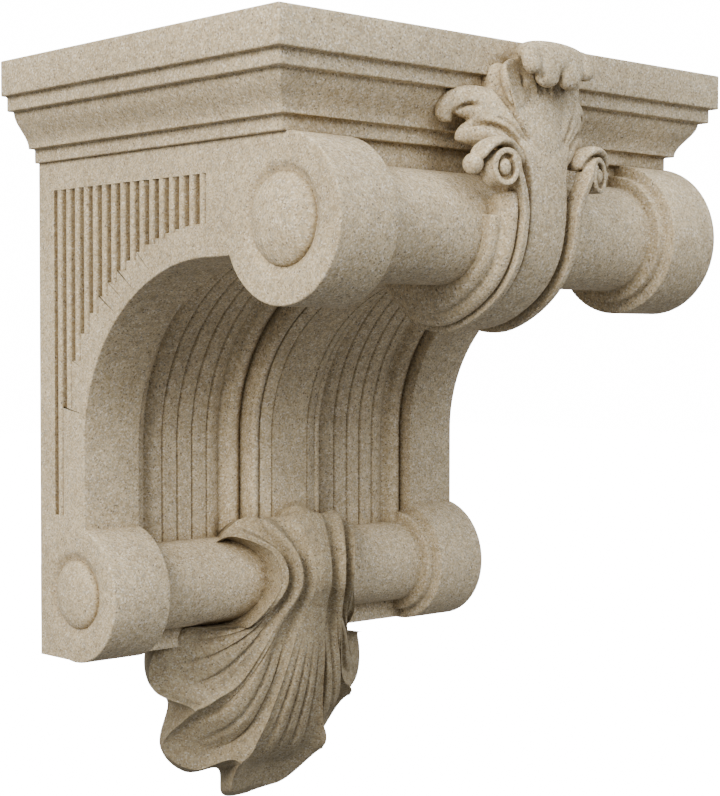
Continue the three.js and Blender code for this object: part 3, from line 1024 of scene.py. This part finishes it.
@dataclass(frozen=True)
class Volute:
    """One strap that winds into a scroll at its head, under a hood that ends in a bud."""

    side: Side
    stem: StemWrap
    centre_x: float = 42.5
    centre_drop: float = 79.8
    front: float = 297.0
    radius: float = 9.7
    inner_radius: float = 6.6
    squash: float = 0.84
    tilt: float = 0.27
    turns: float = 1.15
    middle_rise: float = 0.6
    scroll_widths: tuple[float, ...] = (2.6, 3.8)
    strap_top: float = 103.0
    post_radii: tuple[float, ...] = (9.0, 10.6)
    button_radii: tuple[float, ...] = (4.5, 3.9, 5.3)
    hood_radii: tuple[float, ...] = (14.4, 15.6)
    hood_depth: float = 289.0
    bud_centre: tuple[float, ...] = (57.5, 283.0, 78.0)
    bud_radii: tuple[float, ...] = (5.4, 6.8, 6.4)

    def strap(self) -> list[Draft]:
        """The band in two lengths: round the scroll, then down beside the stem and under the roll.

        Returns:
            The closed forms.
        """
        sign = self.side.value
        scroll = []
        for t in np.linspace(1, 0, 44):
            angle = math.pi - t * 2 * math.pi * self.turns
            reach = self.radius + (self.inner_radius - self.radius) * smooth_step((t - 0.55) / 0.45)
            across = reach * self.squash * math.cos(angle)
            scroll.append((sign * (self.centre_x + across),
                           self.front + self.middle_rise * t - self.tilt * across,
                           self.centre_drop - reach * math.sin(angle)))
        line, normals = self.stem.line(70)
        first = next(i for i, p in enumerate(line) if p[1] > self.strap_top)
        rest = []
        for i in range(first, len(line)):
            rest.append((sign * self.stem.strap_x,
                         line[i, 0] + normals[i, 0] * self.stem.strap_rise,
                         line[i, 1] + normals[i, 1] * self.stem.strap_rise))
        bend = (sign * 27.5, self.front + self.middle_rise, 93.0)
        joint = spline([scroll[-2], scroll[-1], bend, rest[0], rest[1]], 14)[4:-4]
        turn = len(scroll)
        course = np.array([*scroll, *joint, *rest])
        outs = [(sign * self.tilt, 1.0, 0.0)] * turn + [(0.0, 1.0, 0.0)] * len(joint)
        outs += [(0.0, *normals[i]) for i in range(first, len(line))]
        outs = np.array(outs)
        widths = np.full(len(course), self.stem.strap_width)
        widths[:turn] = np.linspace(*self.scroll_widths, turn)
        return [ribbon(course[:turn + 5], outs[:turn + 5], widths[:turn + 5], 8.0),
                ribbon(course[turn - 2:], outs[turn - 2:], widths[turn - 2:], 12.0)]

    def build(self) -> bpy.types.Object:
        """Makes the strap, scroll, hood and bud.

        Returns:
            The object.
        """
        sign = self.side.value
        middle = (sign * self.centre_x, self.centre_drop)
        post = drum(middle, self.post_radii, self.front - 13, self.front - 4, self.tilt)
        button = ball((middle[0], self.front - 3.2, middle[1]), self.button_radii)
        hood_line = []
        for angle in np.linspace(168, 12, 9):
            turn = math.radians(angle)
            hood_line.append((sign * (self.centre_x + self.hood_radii[0] * math.cos(turn)),
                              self.hood_depth - 5 * math.cos(turn) ** 2,
                              self.centre_drop - self.hood_radii[1] * math.sin(turn)))
        hood = tongue(hood_line, [3.8, 3.3, 3.0, 2.8], [9, 9, 8, 7])
        bud = ball((sign * self.bud_centre[0], *self.bud_centre[1:]), self.bud_radii)
        obj = fuse(f"volute_{self.side.name.lower()}", [*self.strap(), post, button, hood, bud], 0.5, 1)
        shade(obj, 60)
        return obj


@dataclass(frozen=True)
class Acanthus:
    """The leaf head: a blade that rises from the stem, a lip that curls over and lobes beside it."""

    carved_from: float = 262.0
    blade: tuple[tuple[float, float, float], ...] = (
        (0, 276, 112), (0, 281, 88), (0, 283, 66), (0, 281, 44), (0, 279, 22),
    )

    def lobes(self, side: Side) -> list[Draft]:
        """The lobes of one side: a spoon with a thick flank, a comma and a leaflet under it.

        Args:
            side: The side.
        Returns:
            The closed forms.
        """
        spoon = mirrored([(7, 282, 68), (12, 285, 52), (17, 287, 38), (21, 286, 25), (22, 281, 13)], side)
        flank = mirrored([(14, 272, 60), (20, 271, 44), (24, 270, 28), (24, 270, 14)], side)
        comma = mirrored([(6, 283, 70), (20, 282, 54), (34, 276, 45), (46, 270, 40), (55, 264, 40),
                          (59, 261, 46), (55, 263, 51)], side)
        leaflet = mirrored([(6, 283, 80), (20, 282, 68), (34, 277, 60), (46, 271, 58), (55, 266, 62)], side)
        return [
            tongue(spoon, [6, 9.5, 12, 13, 11], [7, 7.5, 8, 8, 8], hollow=0.9),
            tongue(flank, [7, 10, 11, 9], [9, 11, 11, 10]),
            tongue(comma, [7, 10, 13, 13.5, 10.5, 8, 5.5], [7, 8.5, 9, 9, 8.5, 8, 6], hollow=0.1),
            tongue(leaflet, [6, 8.5, 9.5, 8.5, 5], [7, 8, 8, 7.5, 6]),
        ]

    def crest(self) -> list[Draft]:
        """The lip that curls forward over the blade, with four scallops at its edge.

        Returns:
            The closed forms.
        """
        lip = [(0, 272, 30), (0, 277, 14.5), (0, 287, 8), (0, 296, 8.5), (0, 299, 15), (0, 299, 22)]
        forms = [tongue(lip, [14, 15, 19, 24, 26, 26], [8, 8, 7, 6, 5.2, 5], overturned=True)]
        for x, foot, half in ((-24, 24, 6.5), (-10.5, 31, 10), (10.5, 31, 10), (24, 24, 6.5)):
            course = [(x * 0.8, 288, 9.5), (x, 296.5, 11), (x, 299.3, 18), (x, 298.6, foot)]
            forms.append(tongue(course, [half, half, half, half * 0.8], [5, 5, 5, 4.5], overturned=True))
        return forms

    def grooves(self) -> list[Groove]:
        """The carved lines between and along the lobes.

        Returns:
            The grooves.
        """
        lines = []
        for side in Side:
            for course, width, depth in (
                ([(13, 66), (22, 53), (29, 42), (34, 30)], 2.2, 3.0),
                ([(13, 73), (24, 63), (36, 55), (48, 53), (54, 55)], 2.0, 3.2),
                ([(45, 43), (52, 42), (56, 45), (56, 49)], 2.4, 4.2),
                ([(16, 66), (28, 54), (38, 48)], 1.3, 1.4),
                ([(12, 84), (24, 75), (38, 70), (50, 72)], 1.8, 2.4),
                ([(18, 31), (17.5, 22)], 2.2, 3.0),
                ([(0, 34), (0, 26)], 2.4, 3.5),
            ):
                lines.append(Groove(mirrored(course, side), width, depth))
        return lines

    def build(self) -> bpy.types.Object:
        """Makes the leaf head.

        Returns:
            The object.
        """
        forms = [tongue(self.blade, [17, 18, 22, 24, 22], [9, 9, 9.5, 9, 8])]
        for side in Side:
            forms += self.lobes(side)
        forms += self.crest()
        obj = fuse("leaf_head", forms, 0.9, 4)
        carve(obj, self.grooves(), self.carved_from)
        shade(obj, 60)
        return obj


@dataclass(frozen=True)
class RimPoint:
    """One point of half of the shell's rim, from the middle of its bottom lobe to its top edge."""

    angle: float
    reach: float
    depth: float
    back_angle: float
    back_reach: float


@dataclass(frozen=True)
class Shell:
    """The scallop shell that wraps the lower roll and fans out under it against the wall."""

    top_half: float = 64.0
    waist_half: float = 34.0
    front_depth: float = 90.0
    top_drop: float = 300.0
    fan_drop: float = 378.0
    lowest_drop: float = 511.9
    # A grey tint on the shell's whole colour: painted shade
    painted_shade_tint: tuple[float, ...] = (0.64, 0.63, 0.60, 1.0)
    flute: float = 7.0
    lean: float = 7.0
    rim: tuple[RimPoint, ...] = (
        RimPoint(0, 124, 26, 0, 133.8),
        RimPoint(11, 125, 30, 7, 131),
        RimPoint(23, 103, 50, 10, 113),
        RimPoint(28, 118, 28, 24, 120),
        RimPoint(42, 116, 23, 38, 113),
        RimPoint(51, 94, 45, 46, 87),
        RimPoint(64, 107, 37, 59, 92),
        RimPoint(76, 100, 38, 71, 88),
        RimPoint(85, 80, 46, 84, 74),
    )
    fine_lines: tuple[float, ...] = (0.045, 0.135, 0.33, 0.43, 0.53, 0.71, 0.81, 0.9)
    ridges: tuple[float, ...] = (0.235, 0.625, 1.0)
    neck: tuple[tuple[float, float], ...] = (
        (0, 3.0), (0.2, 2.2), (0.4, -4.6), (0.6, 4.0), (0.78, -4.6), (0.93, 3.6), (1.0, 0.5),
    )
    proud: float = 4.0
    line_width: float = 0.013
    line_depth: float = 2.8
    back_top: float = 384.0
    back_opens: float = 0.55
    back_opening: float = 0.2
    back_least: float = 0.4
    inner_share: float = 0.88
    inner_inset: float = 8.0
    inner_sink: float = 6.0
    columns: int = 361
    rows: int = 131

    def value(self, across: np.ndarray, name: str, turned: int = 1) -> np.ndarray:
        """One value of the rim at places across it, smoothed between its points.

        Args:
            across: The places, from -1 at the left edge to 1 at the right edge.
            name: The value's name in RimPoint.
            turned: -1 where the value changes sign over the middle, as an angle does, otherwise 1.
        Returns:
            The values, as on the right half.
        """
        last = len(self.rim) - 1
        index = np.abs(across) * last
        k = np.minimum(last - 1, np.floor(index).astype(int))
        t = index - k
        known = np.array([getattr(p, name) for p in self.rim], dtype=float)

        def at(i: np.ndarray) -> np.ndarray:
            """The values of the rim's points i."""
            found = known[np.clip(np.abs(i), 0, last)]
            return np.where(i < 0, turned * found, found)

        bend = (at(k + 1) - at(k - 1)) * t * (1 - t) ** 2 / 2
        bend_next = (at(k + 2) - at(k)) * t ** 2 * (1 - t) / 2
        ease = smooth_step(t)
        return at(k) * (1 - ease) + at(k + 1) * ease + bend - bend_next

    def fan(self, across: np.ndarray, share: float, depth: np.ndarray | float, back: bool) -> np.ndarray:
        """Points of the fan at a share of its reach.

        Args:
            across: Places from -1 at the left edge to 1 at the right edge.
            share: The share of the reach.
            depth: Millimetres from the wall.
            back: Whether the back's outline is used.
        Returns:
            The points.
        """
        prefix = "back_" if back else ""
        turn = self.value(across, prefix + "angle", -1) * np.sign(across) - self.lean * across ** 2
        reach = share * self.value(across, prefix + "reach")
        angle = np.radians(turn)
        return np.stack([reach * np.sin(angle), np.broadcast_to(depth, across.shape),
                         self.fan_drop + reach * np.cos(angle)], axis=1)

    def relief(self, across: np.ndarray, along: float) -> np.ndarray:
        """How proud the surface stands: ridges at the notches, hollow lobes and fine lines.

        Args:
            across: Places from -1 at the left edge to 1 at the right edge.
            along: 0 at the crest, 1 at the rim.
        Returns:
            Millimetres forwards, one for each place.
        """
        edges = np.array([-self.ridges[0], *self.ridges])
        k = np.clip(np.searchsorted(edges, np.abs(across)) - 1, 0, len(edges) - 2)
        u = 2 * (np.abs(across) - edges[k]) / (edges[k + 1] - edges[k]) - 1
        sunk = self.proud + self.flute * smooth_step((along - 0.55) / 0.3)
        bowl = self.proud - sunk * np.sqrt(np.clip(1 - np.abs(u) ** 2.4, 0, 1))
        places, heights = np.array(self.neck).T
        k = np.clip(np.searchsorted(places, np.abs(across)) - 1, 0, len(places) - 2)
        t = smooth_step((np.abs(across) - places[k]) / (places[k + 1] - places[k]))
        neck = heights[k] + (heights[k + 1] - heights[k]) * t
        opened = smooth_step((along - 0.42) / 0.28)
        rim = 1.6 * np.exp(-((along - 0.94) / 0.035) ** 2) - 2.5 * smooth_step((along - 0.965) / 0.035)
        lines = np.zeros_like(across)
        for line in self.fine_lines:
            lines += np.exp(-((np.abs(across) - line) / self.line_width) ** 2)
        fade = smooth_step((along - 0.4) / 0.25) * smooth_step((0.93 - along) / 0.15)
        folds = neck * smooth_step((along + 0.04) / 0.1) * (1 - opened) + bowl * opened
        return folds + rim - self.line_depth * lines * fade

    def grid(self) -> np.ndarray:
        """The carved front as rows from the crest to the rim.

        Returns:
            An array of (rows, columns, 3).
        """
        across = np.linspace(-1, 1, self.columns)
        side = across ** 2
        crest = np.cos(math.pi * 3 * across)
        half = self.waist_half * across
        rim_depth = self.value(across, "depth")

        def row(x: np.ndarray, depth: np.ndarray, drop: np.ndarray | float) -> np.ndarray:
            """A row of points."""
            return np.stack([x, depth, np.broadcast_to(drop, x.shape)], axis=1)

        course = [
            row(self.top_half * across, 60 - 12 * side + 3 * crest, self.top_drop + 16 * side - 5 * crest),
            row(self.top_half * 0.88 * across, 74 - 12 * side, self.top_drop + 2 + 12 * side),
            row(half * 1.12, self.front_depth - 3 - 5 * side, self.top_drop + 25),
            row(half, self.front_depth - 5 * side, self.top_drop + 48),
            row(half * 1.4, self.front_depth - 10 - 12 * side, self.fan_drop - 4),
            self.fan(across, 0.64, 62 - 5 * side, False),
            self.fan(across, 0.88, rim_depth + 5, False),
            self.fan(across, 1.0, rim_depth, False),
        ]
        columns = []
        for j in range(self.columns):
            columns.append(spline([points[j] for points in course], self.rows))
        grid = np.stack(columns, axis=1)
        along = np.linspace(0, 1, self.rows)
        for i in range(self.rows):
            grid[i, :, 1] += self.relief(across, along[i])
        grid[:, :, 2] = np.minimum(grid[:, :, 2], self.lowest_drop)
        return grid

    def back_border(self, grid: np.ndarray) -> np.ndarray:
        """The border behind the front's border, inside the roll or against the wall.

        Args:
            grid: The front's points.
        Returns:
            One point for each point of the front's border.
        """
        across = np.linspace(-1, 1, self.columns)
        along = np.linspace(0, 1, self.rows)
        back = np.empty_like(grid)
        for i in range(self.rows):
            opened = np.clip((along[i] - self.back_opens) / self.back_opening, 0, 1)
            wall = self.fan(across, max(self.back_least, along[i]), 0.0, True)
            inside = grid[i].copy()
            inside[:, 0] *= self.inner_share
            inside[:, 1] = SIZES.lower_depth - self.inner_inset
            inside[:, 2] += self.inner_sink
            back[i] = inside * (1 - opened) + wall * opened
        return back.reshape(-1, 3)[border_indices(self.rows, self.columns)]

    def build(self) -> bpy.types.Object:
        """Makes the shell.

        Returns:
            The object.
        """
        grid = self.grid()
        draft = Draft()
        draft.add_capped_grid(grid, self.back_border(grid), (0.0, 0.0, self.back_top))
        obj = draft.to_object("shell")
        # The stone's shader multiplies the shell's colour by this tint: painted shade that darkens the whole
        # shell
        obj.color = self.painted_shade_tint
        shade(obj, 50)
        return obj


@dataclass(frozen=True)
class StoneFinish:
    """Colours and grain of the cast stone, colours as linear RGB."""

    pale: tuple[float, float, float] = (0.65, 0.555, 0.38)
    warm: tuple[float, float, float] = (0.46, 0.373, 0.235)
    grey: tuple[float, float, float] = (0.39, 0.36, 0.30)
    dark: tuple[float, float, float] = (0.17, 0.145, 0.11)
    bright: tuple[float, float, float] = (0.80, 0.75, 0.66)
    binder: tuple[float, float, float] = (0.535, 0.452, 0.315)
    grain_scale: float = 1050.0
    # How far the painted shade in creases and hollows reaches, in metres
    crease_shade_reach: float = 0.018
    roughness: float = 0.93


FINISH = StoneFinish()

# Places of the colour sockets of a Mix node, which shares its socket names between kinds of value
MIX_FIRST, MIX_SECOND, MIX_RESULT = 6, 7, 2


def stone_material() -> bpy.types.Material:
    """The cast stone: pale sand with warm, grey and dark grains, and painted shade that darkens its hollows
    and creases.

    Returns:
        The material, made once.
    """
    name = "cast_stone"
    if name in bpy.data.materials:
        return bpy.data.materials[name]
    material = bpy.data.materials.new(name)
    material.use_nodes = True
    nodes, links = material.node_tree.nodes, material.node_tree.links
    shader = nodes["Principled BSDF"]
    group = nodes.new("ShaderNodeGroup")
    group.node_tree = grain_group()
    links.new(group.outputs["Color"], shader.inputs["Base Color"])
    links.new(group.outputs["Roughness"], shader.inputs["Roughness"])
    links.new(group.outputs["Normal"], shader.inputs["Normal"])
    shader.inputs["Specular IOR Level"].default_value = 0.25
    return material


def grain_group() -> bpy.types.NodeTree:
    """The node group that colours and roughens the stone, with painted shade in its creases and each object's
    painted shade tint.

    Returns:
        The node group.
    """
    tree = bpy.data.node_groups.new("sand_grain", "ShaderNodeTree")
    tree.interface.new_socket("Color", in_out="OUTPUT", socket_type="NodeSocketColor")
    tree.interface.new_socket("Roughness", in_out="OUTPUT", socket_type="NodeSocketFloat")
    tree.interface.new_socket("Normal", in_out="OUTPUT", socket_type="NodeSocketVector")
    nodes, links = tree.nodes, tree.links
    end = nodes.new("NodeGroupOutput")
    where = nodes.new("ShaderNodeTexCoord")

    def noise(scale: float, detail: float) -> bpy.types.Node:
        """A noise in the stone's own space."""
        node = nodes.new("ShaderNodeTexNoise")
        node.inputs["Scale"].default_value = scale
        node.inputs["Detail"].default_value = detail
        links.new(where.outputs["Object"], node.inputs["Vector"])
        return node

    grains = nodes.new("ShaderNodeTexVoronoi")
    grains.inputs["Scale"].default_value = FINISH.grain_scale
    links.new(where.outputs["Object"], grains.inputs["Vector"])
    parts = nodes.new("ShaderNodeSeparateColor")
    links.new(grains.outputs["Color"], parts.inputs["Color"])
    ramp = nodes.new("ShaderNodeValToRGB")
    ramp.color_ramp.interpolation = "LINEAR"
    stops = [(0.0, FINISH.dark), (0.05, FINISH.warm), (0.3, FINISH.warm), (0.38, FINISH.pale),
             (0.62, FINISH.pale), (0.7, FINISH.grey), (0.86, FINISH.pale), (0.97, FINISH.bright)]
    elements = ramp.color_ramp.elements
    while len(elements) < len(stops):
        elements.new(1.0)
    for element, (position, colour) in zip(elements, stops):
        element.position = position
        element.color = (*colour, 1.0)
    links.new(parts.outputs["Red"], ramp.inputs["Fac"])

    def mix(kind: str, factor: float, first: bpy.types.NodeSocket) -> bpy.types.Node:
        """A colour mix whose second colour is still open."""
        node = nodes.new("ShaderNodeMix")
        node.data_type = "RGBA"
        node.blend_type = kind
        node.inputs["Factor"].default_value = factor
        links.new(first, node.inputs[MIX_FIRST])
        return node

    def tinted(first: bpy.types.NodeSocket, tint: bpy.types.NodeSocket) -> bpy.types.NodeSocket:
        """A colour times a tint."""
        node = mix("MULTIPLY", 1.0, first)
        links.new(tint, node.inputs[MIX_SECOND])
        return node.outputs[MIX_RESULT]

    def span(value: bpy.types.NodeSocket, low: tuple, high: tuple) -> bpy.types.NodeSocket:
        """A blend between two stops, each given as its place, red, green and blue."""
        node = nodes.new("ShaderNodeValToRGB")
        for element, (position, *colour) in zip(node.color_ramp.elements, (low, high)):
            element.position = position
            element.color = (*colour, 1.0)
        links.new(value, node.inputs["Fac"])
        return node.outputs["Color"]

    flat = mix("MIX", 0.15, ramp.outputs["Color"])
    flat.inputs[MIX_SECOND].default_value = (*FINISH.binder, 1.0)
    patches = span(noise(14.0, 4.0).outputs["Fac"], (0.35, 0.90, 0.88, 0.86), (0.65, 1.06, 1.04, 1.02))
    mottles = span(noise(170.0, 2.0).outputs["Fac"], (0.38, 0.90, 0.89, 0.88), (0.62, 1.05, 1.05, 1.04))
    # Painted shade: ambient occlusion darkens the colour in creases and hollows
    hollow = nodes.new("ShaderNodeAmbientOcclusion")
    hollow.inputs["Distance"].default_value = FINISH.crease_shade_reach
    hollow.samples = 8
    painted_crease_shade = span(hollow.outputs["AO"], (0.25, 0.54, 0.50, 0.43), (0.85, 1.0, 1.0, 1.0))
    # Each object's colour as a tint: painted shade on the shell, plain white on the other pieces
    object_shade_tint = nodes.new("ShaderNodeObjectInfo")
    colour = flat.outputs[MIX_RESULT]
    for tint in (patches, mottles, painted_crease_shade, object_shade_tint.outputs["Color"]):
        colour = tinted(colour, tint)
    links.new(colour, end.inputs["Color"])

    fine = noise(900.0, 3.0)
    coarse = noise(240.0, 3.0)
    height = nodes.new("ShaderNodeMath")
    height.operation = "MULTIPLY_ADD"
    height.inputs[1].default_value = 0.6
    links.new(coarse.outputs["Fac"], height.inputs[0])
    links.new(fine.outputs["Fac"], height.inputs[2])
    bump = nodes.new("ShaderNodeBump")
    bump.inputs["Strength"].default_value = 0.55
    bump.inputs["Distance"].default_value = 0.0007
    links.new(height.outputs["Value"], bump.inputs["Height"])
    links.new(bump.outputs["Normal"], end.inputs["Normal"])
    rough = nodes.new("ShaderNodeMapRange")
    rough.inputs["To Min"].default_value = FINISH.roughness - 0.06
    rough.inputs["To Max"].default_value = FINISH.roughness + 0.05
    links.new(fine.outputs["Fac"], rough.inputs["Value"])
    links.new(rough.outputs["Result"], end.inputs["Roughness"])
    return tree


@dataclass(frozen=True)
class Studio:
    """Camera, floor and soft lights."""

    focal_px: float = 1810.0
    image_width: float = 720.0
    image_height: float = 796.0
    centre_px: tuple[float, ...] = (301.45, 407.80)
    sensor: float = 36.0
    location: tuple[float, ...] = (-0.84294, -1.00697, 0.00790)
    turn_degrees: tuple[float, ...] = (88.1495, 0.0, -41.936)
    target: tuple[float, ...] = (0, -0.15, -0.05)
    floor_drop: float = 900.0
    floor_half: float = 12.0
    backdrop: float = 16.0

    def camera(self) -> None:
        """The camera at the photograph's angle."""
        data = bpy.data.cameras.new("camera")
        data.sensor_width = self.sensor
        data.lens = self.focal_px / self.image_height * self.sensor
        data.shift_x = (self.image_width / 2 - self.centre_px[0]) / self.image_height
        data.shift_y = (self.centre_px[1] - self.image_height / 2) / self.image_height
        obj = add_object("camera", data)
        obj.location = self.location
        obj.rotation_euler = Euler([math.radians(a) for a in self.turn_degrees])
        bpy.context.scene.camera = obj

    def area_light(self, name: str, location: tuple, size: float, watts: float, colour: tuple) -> None:
        """A square soft light aimed at the corbel.

        Args:
            name: The light's name.
            location: Where it stands, in metres.
            size: Its side in metres.
            watts: Its power.
            colour: Its colour as linear RGB.
        """
        data = bpy.data.lights.new(name, "AREA")
        data.size = size
        data.energy = watts
        data.color = colour
        obj = add_object(name, data)
        obj.location = location
        aim = Vector(self.target) - Vector(location)
        obj.rotation_euler = aim.to_track_quat("-Z", "Y").to_euler()

    def lights(self) -> None:
        """A warm key from the left, a cool fill from the front and a weak one from above."""
        self.area_light("key", (-2.15, -0.8, 1.15), 1.3, 84, (1.0, 0.945, 0.85))
        self.area_light("fill", (0.2, -2.3, 1.35), 1.6, 36, (0.97, 0.985, 1.0))
        self.area_light("top", (-0.4, -0.9, 2.2), 1.2, 14, (1.0, 0.99, 0.97))

    def world(self) -> None:
        """A plain white surround."""
        world = bpy.data.worlds.new("surround")
        world.use_nodes = True
        nodes, links = world.node_tree.nodes, world.node_tree.links
        shader = nodes["Background"]
        shader.inputs["Color"].default_value = (1.0, 1.0, 1.0, 1.0)
        way = nodes.new("ShaderNodeTexCoord")
        parts = nodes.new("ShaderNodeSeparateXYZ")
        fall = nodes.new("ShaderNodeMapRange")
        fall.inputs["From Min"].default_value = -0.35
        fall.inputs["From Max"].default_value = 0.6
        fall.inputs["To Min"].default_value = 0.27
        fall.inputs["To Max"].default_value = 0.68
        links.new(way.outputs["Generated"], parts.inputs["Vector"])
        links.new(parts.outputs["Z"], fall.inputs["Value"])
        links.new(fall.outputs["Result"], shader.inputs["Strength"])
        backdrop = nodes.new("ShaderNodeBackground")
        backdrop.inputs["Color"].default_value = (1.0, 1.0, 1.0, 1.0)
        backdrop.inputs["Strength"].default_value = self.backdrop
        path = nodes.new("ShaderNodeLightPath")
        choice = nodes.new("ShaderNodeMixShader")
        links.new(path.outputs["Is Camera Ray"], choice.inputs["Fac"])
        links.new(shader.outputs["Background"], choice.inputs[1])
        links.new(backdrop.outputs["Background"], choice.inputs[2])
        links.new(choice.outputs["Shader"], nodes["World Output"].inputs["Surface"])
        bpy.context.scene.world = world

    def floor(self) -> None:
        """A pale floor well below the corbel."""
        drop = CAP_TOP - self.floor_drop
        mesh = bpy.data.meshes.new("floor")
        half = self.floor_half
        corners = [(-half, -half), (half, -half), (half, half), (-half, half)]
        mesh.from_pydata([(x, y, drop * MM) for x, y in corners], [], [(0, 1, 2, 3)])
        obj = add_object("floor", mesh)
        material = bpy.data.materials.new("pale_floor")
        material.use_nodes = True
        shader = material.node_tree.nodes["Principled BSDF"]
        shader.inputs["Base Color"].default_value = (0.93, 0.93, 0.93, 1.0)
        shader.inputs["Roughness"].default_value = 0.9
        shader.inputs["Emission Color"].default_value = (1.0, 1.0, 1.0, 1.0)
        shader.inputs["Emission Strength"].default_value = self.backdrop
        obj.visible_diffuse = False
        obj.visible_glossy = False
        mesh.materials.append(material)

    def build(self) -> None:
        """Sets up everything round the corbel."""
        self.camera()
        self.lights()
        self.world()
        self.floor()


def main() -> None:
    """Builds the corbel and its studio."""
    Studio().build()
    stem = StemWrap()
    rolls = [
        Roll("upper_roll", SIZES.upper_depth, SIZES.upper_drop, SIZES.upper_radius, SIZES.upper_core,
             boss_radius=27.0, boss_rise=9.6),
        Roll("lower_roll", SIZES.lower_depth, SIZES.lower_drop, SIZES.lower_radius, SIZES.lower_core,
             boss_radius=22.5, boss_rise=8.1),
    ]
    pieces = [
        Cap().build(),
        Body().build(rolls),
        *[roll.build() for roll in rolls],
        stem.build(),
        *[Volute(side, stem).build() for side in Side],
        Acanthus().build(),
        Shell().build(),
    ]
    for piece in pieces:
        piece.data.materials.clear()
        piece.data.materials.append(stone_material())
        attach(piece, "root")
        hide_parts(NODE)
        log.info("%s has %d faces", piece.name, len(piece.data.polygons))


if __name__ == "__main__":
    logging.basicConfig(level=logging.INFO)
    main()
